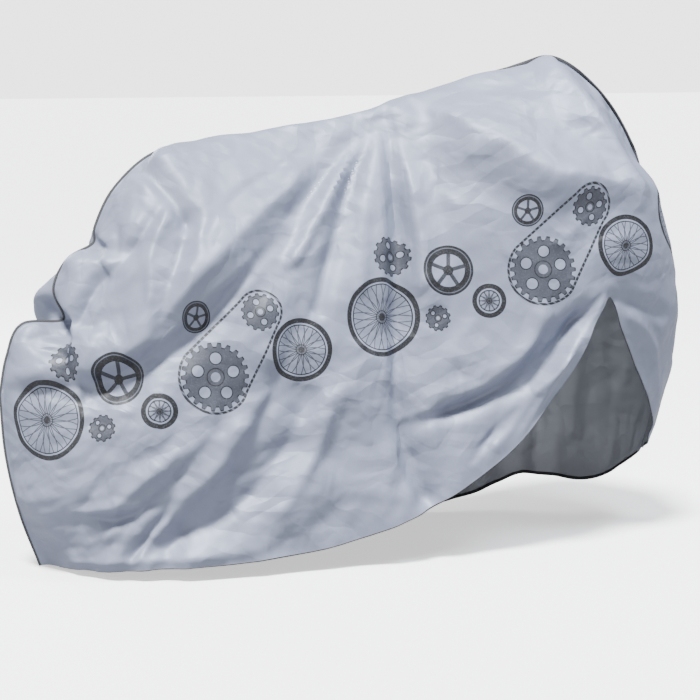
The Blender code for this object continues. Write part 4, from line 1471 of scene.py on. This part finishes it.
@dataclass
class FilmPanel:
    """One side of the cover: a film sheet from the bound seam down to the taped hem."""

    side: Side
    sides: tuple
    folds: tuple
    facets: tuple
    crumple: Crumple
    pushes: tuple = ()
    print_offset: float = 0.0
    columns_per_solid_column: int = 5
    rows: int = 166
    row_crowding: float = 1.15
    thickness: float = 0.0015
    piece_gap: float = 0.0003
    flange_height: float = 0.008
    hem_allowance: float = 0.012
    crest_place: float = 0.045
    # where the near film's crest hides the seam: x along the top, how fast it comes and goes, and its height
    hidden_span: tuple = (-0.515, 0.500)
    hidden_fade: float = 0.07
    hidden_crest: float = 0.011
    hidden_crest_place: float = 0.026
    # how far the raised edge lies over: seam_lean in radians, the others as shares of it
    seam_lean: float = 1.10
    rear_lean: float = 0.8
    rear_reach: float = 0.4
    nose_lean: float = 0.9
    nose_span: tuple = (0.58, 0.66, 0.785)
    nose_fade: float = 0.02
    front_lead: float = 0.01
    front_fade: float = 0.03
    # distances from the seam over which each kind of shaping comes to its full height
    fold_free_edge: float = 0.07
    push_free_edge: float = 0.035
    crease_free_edge: float = 0.022
    cut_width: float = 1.10
    cut_length: float = 2.10
    cut_area: float = 2.16
    grid: Array = field(default=None, repr=False)
    flat: Array = field(default=None, repr=False)

    @property
    def name(self) -> str:
        """Name of the panel, as its solid has it."""
        return f"panel_{self.side.name.lower()}"

    def places(self) -> Array:
        """Place the grid columns among the sections.

        Returns:
            Section numbers, with fractions, one for each column.
        """
        solid = [0.0]
        for number, section in enumerate(SECTIONS[:-1]):
            solid += [number + (k + 1) / section.columns for k in range(section.columns)]
        fine = np.arange((len(solid) - 1) * self.columns_per_solid_column + 1) / self.columns_per_solid_column
        return np.interp(fine, np.arange(len(solid)), solid)

    def seam_table(self) -> Array:
        """Seam x, y, z, crest and crown in each column."""
        table = [(*metres((*s.seam, s.crest)), s.crown) for s in SECTIONS]
        return spline(np.arange(len(SECTIONS)), table, self.places())

    def hidden(self, x: Array) -> Array:
        """Share, from 0 to 1, by which the near film's crest covers the seam at places x along the top."""
        low, high = self.hidden_span
        return smooth_step((x - low) / self.hidden_fade) * smooth_step((high - x) / self.hidden_fade)

    def hang(self) -> Array:
        """Hang the film unfolded: each column leaves the seam, then follows the rails.

        Returns:
            The grid (column, row, xyz).
        """
        places = self.places()
        seam = self.seam_table()
        table = np.array(metres(self.sides)).reshape(len(self.sides), 9)
        rails = spline(np.arange(len(table)), table, places).reshape(len(places), 3, 3)
        rails[..., 1] *= self.side.value
        stops = np.concatenate((seam[:, None, :3], rails), axis=1)
        grid = np.empty((len(places), self.rows + 1, 3))
        for i, column in enumerate(stops):
            reach = walked(column)
            slopes = np.gradient(column, reach, axis=0)
            crown = seam[i, 4]
            slopes[0] = np.array((0.0, self.side.value, 0.0)) * crown + slopes[0] * (1 - crown)
            where = (reach[-1] - self.hem_allowance) * np.linspace(0, 1, self.rows - 1) ** self.row_crowding
            where = np.append(where, (reach[-1] - self.hem_allowance / 2, reach[-1]))
            grid[i] = hermite(reach, column, slopes, where)
            if self.side is Side.NEAR:
                cover = float(self.hidden(seam[i, 0]))
                place = self.crest_place + (self.hidden_crest_place - self.crest_place) * cover
                rise = np.exp(-(np.maximum(where - place, 0) / self.crest_place) ** 2)
                crest = max(seam[i, 3], self.hidden_crest * cover)
                grid[i, :, 2] += crest * rise * smooth_step(where / place)
        return grid

    def seam_indices(self, columns: int) -> Array:
        """Number the sewn edge of a grid: up the rear edge, over the top, down the front edge.

        Args:
            columns: Columns of the grid.

        Returns:
            The numbers of its points.
        """
        count = self.rows + 1
        return np.concatenate((np.arange(self.rows, 0, -1), np.arange(columns) * count,
                               (columns - 1) * count + np.arange(1, count)))

    def seam_loop(self, grid: Array) -> Array:
        """Points of the sewn edge."""
        return grid.reshape(-1, 3)[self.seam_indices(len(grid))]

    def drape(self) -> None:
        """Shape the grid: hang it, then fold, push, swell and crease it."""
        base = self.hang()
        self.flat = flat_pattern(base)
        edge = self.seam_loop(base)
        away = np.stack([np.linalg.norm(column[:, None] - edge, axis=-1).min(-1) for column in base])
        x, z = base[..., 0], base[..., 2]
        height = SOLID_FOLD_SHARE * sum(fold_height(f, x, z) for f in self.folds)
        height = height * smooth_step(away / self.fold_free_edge)
        fine = sum(facet_height(f, x, z) for f in self.facets)
        fine = fine + self.crumple.facets(x, z) + self.crumple.swell(self.flat)
        fine = fine + sum(fold_height(f, x, z) for f in self.crumple.folds(x, z))
        fine = soften(fine)
        height += fine * smooth_step(away / self.crease_free_edge)
        grid = base + grid_normals(base, self.side) * height[..., None]
        fade = smooth_step(away / self.push_free_edge)
        for push in self.pushes:
            distance = np.linalg.norm(grid[..., (0, 2)] - np.array(metres(push.centre)), axis=-1)
            share = fade * np.exp(-(distance / metres(push.reach)) ** 2)
            grid = grid + share[..., None] * np.array(metres(push.shift))
        self.grid = Settling().run(grid, away)
        self.flat[..., 0] += self.print_offset

    def seam_frames(self) -> tuple[Array, Array, Array]:
        """Frames along the sewn edge, leaning the way the raised edge lies over.

        Returns:
            The edge's points, and the outward and sideways unit vectors at each.
        """
        centre = self.seam_loop(self.grid)
        level = np.zeros(self.rows)
        x = self.seam_table()[:, 0]
        laid = np.maximum(self.hidden(x), self.rear_lean * smooth_step(-x / self.rear_reach))
        low, turned, high = self.nose_span
        nose = smooth_step((x - low) / (turned - low)) * smooth_step((high - x) / self.nose_fade)
        laid = laid - self.nose_lean * nose
        laid = laid + self.rear_lean * smooth_step((x - high + self.front_lead) / self.front_fade)
        lean = np.concatenate((level + laid[0], laid, level + laid[-1])) * self.seam_lean
        run = unit(np.gradient(centre, axis=0))
        across = unit(np.array((0.0, 1.0, 0.0)) - run * run[:, 1:2])
        outward = np.cross(run, across)
        turn = lean[:, None]
        return (centre, outward * np.cos(turn) + across * np.sin(turn),
                across * np.cos(turn) - outward * np.sin(turn))

    def build(self, outer: Material, inner: Material) -> Object:
        """Build the sheet with its thickness and the raised edge that the binding encloses.

        Args:
            outer: Material of the outer face.
            inner: Material of the inner face.

        Returns:
            The panel's object.
        """
        centre, outward, sideways = self.seam_frames()
        columns, count = len(self.grid), self.rows + 1
        loop = self.seam_indices(columns)
        raised = columns * count + np.arange(len(loop))
        flange = np.stack((loop[:-1], raised[:-1], raised[1:], loop[1:]), axis=1)
        faces = np.concatenate((grid_quads(columns, count), flange))
        if self.side is Side.NEAR:
            faces = faces[:, ::-1]
        front = self.grid.reshape(-1, 3).copy()
        back = front - grid_normals(self.grid, self.side).reshape(-1, 3) * self.thickness
        half = self.piece_gap / 2
        front[loop] = centre + sideways * self.side.value * (half + self.thickness)
        back[loop] = centre + sideways * self.side.value * half
        front = np.concatenate((front, front[loop] + outward * self.flange_height))
        back = np.concatenate((back, back[loop] + outward * self.flange_height))
        flat = self.flat.reshape(-1, 2)
        flat = np.concatenate((flat, flat[loop]))
        return sheet_object(f"film_{self.side.name.lower()}", front, back, faces, flat, (outer, inner))


def sheet_object(name: str, front: Array, back: Array, faces: Array, flat: Array, materials: tuple) -> Object:
    """A closed sheet from its front points and faces, its back points and its flat coordinates.

    Args:
        name: Name of the object.
        front: Points of the front face, in cover coordinates.
        back: The same points on the back face.
        faces: Quads of the front face.
        flat: Flat coordinates of each point, in metres.
        materials: Materials of the front and the back.

    Returns:
        The object.
    """
    total = len(front)
    edges = np.stack((faces, np.roll(faces, -1, axis=1)), axis=-1).reshape(-1, 2)
    key, opposite = edges[:, 0] * total + edges[:, 1], edges[:, 1] * total + edges[:, 0]
    rim = edges[~np.isin(key, opposite)]
    sides = np.stack((rim[:, 1], rim[:, 0], rim[:, 0] + total, rim[:, 1] + total), axis=1)
    quads = np.concatenate((faces, faces[:, ::-1] + total, sides))
    slots = np.concatenate((np.zeros(len(faces)), np.ones(len(faces)), np.zeros(len(sides)))).astype(int)
    return mesh_object(name, np.concatenate((front, back)), quads.tolist(), np.concatenate((flat, flat)),
                       materials, slots)


def mesh_object(name: str, points: Array, faces: list, flat: Array, materials: tuple,
                slots: Array | None = None, sharp: float = FILM_SHARP_ANGLE) -> Object:
    """A smooth-shaded object in the part's frame, with a UV map of its flat coordinates.

    Args:
        name: Name of the object.
        points: Points in cover coordinates.
        faces: Lists of point numbers.
        flat: Flat coordinates of each point, in metres.
        materials: Its materials.
        slots: Material number of each face.
        sharp: Angle in radians above which an edge isn't smoothed.

    Returns:
        The object.
    """
    mesh = bpy.data.meshes.new(name)
    mesh.from_pydata((points - ORIGIN).tolist(), [], faces)
    for material in materials:
        mesh.materials.append(material)
    corners = np.empty(len(mesh.loops), dtype=np.int32)
    mesh.loops.foreach_get("vertex_index", corners)
    layer = mesh.uv_layers.new(name=FLAT_LAYER)
    layer.data.foreach_set("uv", flat[corners].astype(np.float32).ravel())
    if slots is not None:
        mesh.polygons.foreach_set("material_index", slots.astype(np.int32))
    mesh.update()
    item = bpy.data.objects.new(name, mesh)
    bpy.context.scene.collection.objects.link(item)
    bpy.ops.object.select_all(action="DESELECT")
    item.select_set(True)
    bpy.context.view_layer.objects.active = item
    bpy.ops.object.shade_smooth_by_angle(angle=sharp)
    item.select_set(False)
    return item


@dataclass
class SeamBinding:
    """The folded tape that straddles both raised edges along the whole seam."""

    panel: FilmPanel
    wall: float = 0.0010
    foot: float = 0.0016
    rounding: int = 6
    crown: float = 0.55  # height of the rounded top by half the binding's width
    stitch_rise: float = 0.0020  # height of the seam's stitches above the foot

    @property
    def inside(self) -> float:
        """Half the width inside the fold: half the gap between the films, a film, and a gap beside it."""
        return self.panel.piece_gap * 1.5 + self.panel.thickness

    @property
    def outside(self) -> float:
        """Half the width outside the fold."""
        return self.inside + self.wall

    def profile(self) -> Array:
        """Draw the closed cross-section.

        Returns:
            Its points (sideways, outward).
        """
        inside, outside = self.inside, self.outside
        under = self.panel.flange_height + self.panel.piece_gap
        over = under + self.wall - outside * self.crown
        turn = np.linspace(math.pi, 0, self.rounding + 1)
        crown = [(outside * math.cos(a), over + outside * self.crown * math.sin(a)) for a in turn]
        outer = [(-outside, self.foot), *crown, (outside, self.foot)]
        inner = ((inside, self.foot), (inside, under), (-inside, under), (-inside, self.foot))
        return np.array([*outer, *inner])

    def build(self, material: Material) -> Object:
        """Build the binding along the seam.

        Args:
            material: The tape's material.

        Returns:
            The binding's object.
        """
        centre, outward, sideways = self.panel.seam_frames()
        profile = self.profile()
        rings = centre[:, None] + sideways[:, None] * profile[:, :1] + outward[:, None] * profile[:, 1:]
        sides = len(profile)
        first = np.arange(len(centre) - 1)[:, None] * sides
        here = (first + np.arange(sides)).reshape(-1)
        across = (first + np.roll(np.arange(sides), -1)).reshape(-1)
        faces = np.stack((here, here + sides, across + sides, across), axis=1).tolist()
        last = (len(centre) - 1) * sides
        faces += [list(range(sides)), [last + k for k in range(sides - 1, -1, -1)]]
        around = np.cumsum(np.linalg.norm(np.diff(profile, axis=0, prepend=profile[:1]), axis=1))
        return mesh_object("folded_binding", rings.reshape(-1, 3), faces, flat_strip(walked(centre), around),
                           (material,), sharp=BINDING_SHARP_ANGLE)

    def stitch_line(self, side: Side) -> tuple[Array, Array]:
        """Lay the line of stitches on one side of the binding.

        Args:
            side: The side.

        Returns:
            Points of the line, and the surface normals there.
        """
        centre, outward, sideways = self.panel.seam_frames()
        line = centre + sideways * side.value * self.outside + outward * (self.foot + self.stitch_rise)
        return line, sideways * side.value


@dataclass
class HemTape:
    """The tape sewn behind the foot of a panel, a little of it showing below the hem."""

    panel: FilmPanel
    thickness: float = 0.0010
    drop: float = 0.0028
    solid_columns_free: int = 1

    @property
    def name(self) -> str:
        """Name of the tape, as its solid has it."""
        return f"hem_tape_{self.panel.side.name.lower()}"

    def rows(self) -> tuple[Array, Array]:
        """Carry the foot of the panel's outer face on to the tape's lower edge.

        Returns:
            Points (column, row, xyz), and the panel's normals there.
        """
        free = self.solid_columns_free * self.panel.columns_per_solid_column
        span = slice(free, len(self.panel.grid) - free)
        rows = self.panel.grid[span, -2:]
        down = unit(rows[:, 1:] - rows[:, :1])
        rows = np.concatenate((rows, rows[:, 1:] + down * self.drop), axis=1)
        normals = grid_normals(self.panel.grid, self.panel.side)[span][:, (-2, -1, -1)]
        return rows, normals

    def stitch_line(self) -> tuple[Array, Array]:
        """Points and surface normals of the line of stitches along the hem."""
        rows, normals = self.rows()
        return rows[:, 1], normals[:, 1]

    def build(self, material: Material) -> Object:
        """Build the tape.

        Args:
            material: The tape's material.

        Returns:
            The tape's object.
        """
        rows, normals = self.rows()
        front = rows - normals * (self.panel.thickness + self.panel.piece_gap)
        back = front - normals * self.thickness
        faces = grid_quads(*rows.shape[:2])
        if self.panel.side is Side.NEAR:
            faces = faces[:, ::-1]
        depth = np.array((self.panel.hem_allowance / 2, 0.0, -self.drop))
        flat = flat_strip(walked(rows[:, 1]), depth)
        return sheet_object(f"tape_{self.panel.side.name.lower()}", front.reshape(-1, 3), back.reshape(-1, 3),
                            faces, flat, (material, material))


@dataclass
class Stitches:
    """A row of short sewn stitches along a line on a surface."""

    name: str
    pitch: float = 0.0042
    length: float = 0.0032
    radius: float = 0.00055
    flatness: float = 0.8
    # where along a stitch each of its four rings stands, and how wide it is there
    stations: tuple = (0.0, 0.22, 0.78, 1.0)
    widths: tuple = (0.25, 1.0, 1.0, 0.25)
    ahead: float = 0.001  # how far along the line its direction is taken
    sides: int = 6
    # corners of the quads that close the six sides' first and last ring
    first_cap: tuple = ((5, 4, 3, 2), (5, 2, 1, 0))
    last_cap: tuple = ((0, 1, 2, 3), (0, 3, 4, 5))

    def build(self, line: Array, normals: Array, material: Material) -> Object:
        """Build the stitches.

        Args:
            line: Points of the line in cover coordinates.
            normals: Surface normals at those points.
            material: The thread's material.

        Returns:
            One object that holds all the stitches.
        """
        reach = walked(line)
        starts = np.arange(self.pitch, reach[-1] - self.pitch, self.pitch)
        turn = (np.arange(self.sides) / self.sides * math.tau)[None, :, None]
        rings = []
        for share, width in zip(self.stations, self.widths):
            place = starts + share * self.length
            spot = rows_at(place, reach, line)
            up = unit(rows_at(place, reach, normals))
            across = unit(np.cross(up, rows_at(place + self.ahead, reach, line) - spot))
            rings.append(spot[:, None] + self.radius * width * (across[:, None] * np.cos(turn)
                                                               + up[:, None] * np.sin(turn) * self.flatness))
        points = np.stack(rings, axis=1).reshape(-1, 3)
        ring, last = np.arange(self.sides), (len(rings) - 1) * self.sides
        follow = np.roll(ring, -1)
        quads = [np.stack((ring, follow, follow + self.sides, ring + self.sides), axis=1) + self.sides * k
                 for k in range(len(rings) - 1)]
        one = np.concatenate((*quads, self.first_cap, np.add(self.last_cap, last)))
        faces = (np.arange(len(starts))[:, None, None] * (last + self.sides) + one).reshape(-1, 4)
        return mesh_object(self.name, points, faces.tolist(), np.zeros((len(points), 2)), (material,))


def stand(name: str, data: bpy.types.ID, place: Vector, facing: Vector) -> Object:
    """Put a light or a camera in the scene.

    Args:
        name: Name of the object.
        data: The light or the camera.
        place: Where it stands.
        facing: The way it looks.

    Returns:
        The object.
    """
    item = bpy.data.objects.new(name, data)
    item.location = place
    item.rotation_euler = facing.to_track_quat("-Z", "Y").to_euler()
    bpy.context.scene.collection.objects.link(item)
    return item


class Lamp(Enum):
    """Kind of a light."""

    SQUARE = "AREA"
    DISTANT = "SUN"


@dataclass(frozen=True)
class Light:
    """A light: its place, the point it faces, its power, its size and its colour.

    A square light's power is in watts and its size is its side in metres; a distant one has a strength and
    its width in degrees.
    """

    name: str
    lamp: Lamp
    place: tuple
    aim: tuple
    power: float
    size: float
    colour: tuple

    def build(self) -> None:
        """Add the light to the scene."""
        data = bpy.data.lights.new(self.name, self.lamp.value)
        data.energy, data.color = self.power, self.colour
        if self.lamp is Lamp.SQUARE:
            data.size = self.size
        else:
            data.angle = math.radians(self.size)
        stand(self.name, data, Vector(self.place), Vector(self.aim) - Vector(self.place))


@dataclass
class Studio:
    """Pale floor, soft lights and the camera."""

    target: tuple = (-0.079, 0.0, -0.5955)
    azimuth: float = math.radians(-20.0)
    elevation: float = math.radians(8.0)
    distance: float = 5.6
    lens: float = 115.0
    sensor: float = 36.0
    floor_half: float = 40.0
    floor_parts: int = 8
    surround: float = 0.22
    surround_colour: tuple = (1.0, 0.97, 0.98, 1.0)
    backdrop: float = 3.9
    lights: tuple = (
        Light("key", Lamp.DISTANT, (-0.24, -0.30, 0.92), (0.0, 0.0, 0.0), 12.8, 12.0, (0.96, 0.98, 1.0)),
        Light("rear", Lamp.SQUARE, (-3.4, -1.2, -0.2), (-0.8, 0.0, -0.5), 34.0, 1.2, (0.92, 0.96, 1.0)),
        Light("behind", Lamp.SQUARE, (-1.6, 4.2, 1.6), (0.0, 0.3, -0.4), 190.0, 2.2, (0.96, 0.98, 1.0)),
        Light("fill", Lamp.SQUARE, (1.3, -1.4, 2.3), (0.45, -0.1, 0.0), 125.0, 1.1, (0.86, 0.92, 1.0)),
    )

    def floor(self) -> None:
        """Build the floor."""
        bpy.ops.object.select_all(action="DESELECT")
        bpy.ops.mesh.primitive_grid_add(x_subdivisions=self.floor_parts, y_subdivisions=self.floor_parts,
                                        size=2 * self.floor_half)
        item = bpy.context.object
        item.name = "studio_floor"
        item.data.transform(item.matrix_world)
        item.data.transform(Matrix.Translation((0.0, 0.0, GROUND)))
        item.data.materials.append(FloorFinish("pale_floor").material())

    def world(self) -> None:
        """Give the scene an even pale surround, and a brighter one for the camera to see."""
        world = bpy.data.worlds.new("soft_surround")
        world.use_nodes = True
        tree = world.node_tree
        lit = tree.nodes["Background"]
        lit.inputs["Color"].default_value = self.surround_colour
        lit.inputs["Strength"].default_value = self.surround
        seen = tree.nodes.new("ShaderNodeBackground")
        seen.inputs["Strength"].default_value = self.backdrop
        path = tree.nodes.new("ShaderNodeLightPath")
        mix = tree.nodes.new("ShaderNodeMixShader")
        tree.links.new(path.outputs["Is Camera Ray"], mix.inputs["Fac"])
        tree.links.new(lit.outputs[0], mix.inputs[1])
        tree.links.new(seen.outputs[0], mix.inputs[2])
        tree.links.new(mix.outputs[0], tree.nodes["World Output"].inputs["Surface"])
        bpy.context.scene.world = world

    def camera(self) -> None:
        """Stand the camera where the cover is seen from its near rear side."""
        back = Vector((math.sin(self.azimuth) * math.cos(self.elevation),
                       -math.cos(self.azimuth) * math.cos(self.elevation), math.sin(self.elevation)))
        data = bpy.data.cameras.new("camera")
        data.lens, data.sensor_width = self.lens, self.sensor
        bpy.context.scene.camera = stand("camera", data, Vector(self.target) + back * self.distance, -back)

    def build(self) -> None:
        """Build the whole studio."""
        self.floor()
        self.world()
        for light in self.lights:
            light.build()
        self.camera()


def main() -> None:
    """Load the frame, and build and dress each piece."""
    logging.basicConfig(level=logging.INFO, format="%(message)s")
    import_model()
    Studio().build()
    LOG.info("studio built")
    film = FilmFinish("silver_film_face", light=(0.205, 0.225, 0.296), dark=(0.180, 0.198, 0.262),
                      ink_colour=(0.009, 0.009, 0.010), roughness=0.52, band=PrintedBand()).material()
    # the film's back is much paler than its face: partly the film's own lighter inside, partly painted light
    # standing in for light that shines through the thin film into the cover
    lining_with_painted_light = FilmFinish("silver_film_back_painted_light", light=(0.500, 0.517, 0.555), dark=(0.430, 0.446, 0.482),
                        roughness=0.56).material()
    tape = TapeFinish("black_tape_weave").material()
    grey_thread = ThreadFinish("grey_thread", (0.10, 0.10, 0.11), (0.24, 0.245, 0.26)).material()
    black_thread = ThreadFinish("black_thread", (0.008, 0.008, 0.009), (0.035, 0.035, 0.038)).material()
    panels = (FilmPanel(Side.NEAR, NEAR_SIDES, NEAR_FOLDS, NEAR_FACETS,
                        Crumple(seed=11, pulls=NEAR_PULLS), NEAR_PUSHES),
              FilmPanel(Side.FAR, FAR_SIDES, FAR_FOLDS, FAR_FACETS,
                        Crumple(seed=23, pulls=FAR_PULLS), FAR_PUSHES, print_offset=0.33))
    for panel in panels:
        panel.drape()
        piece = panel.build(film, lining_with_painted_light)
        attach(piece, "root")
        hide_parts(panel.name)
        LOG.info("%s: %d faces", panel.name, len(piece.data.polygons))
        hem = HemTape(panel)
        tape_piece = hem.build(tape)
        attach(tape_piece, "root")
        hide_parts(hem.name)
        line, normals = hem.stitch_line()
        stitches = Stitches(f"hem_stitches_{panel.side.name.lower()}").build(line, normals, grey_thread)
        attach(stitches, "root")
        LOG.info("%s and its stitches built", hem.name)
    binding = SeamBinding(panels[0])
    binding_piece = binding.build(tape)
    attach(binding_piece, "root")
    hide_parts("seam_binding")
    for side in Side:
        line, normals = binding.stitch_line(side)
        stitches = Stitches(f"seam_stitches_{side.name.lower()}").build(line, normals, black_thread)
        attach(stitches, "root")
    LOG.info("seam binding and its stitches built")


if __name__ == "__main__":
    main()
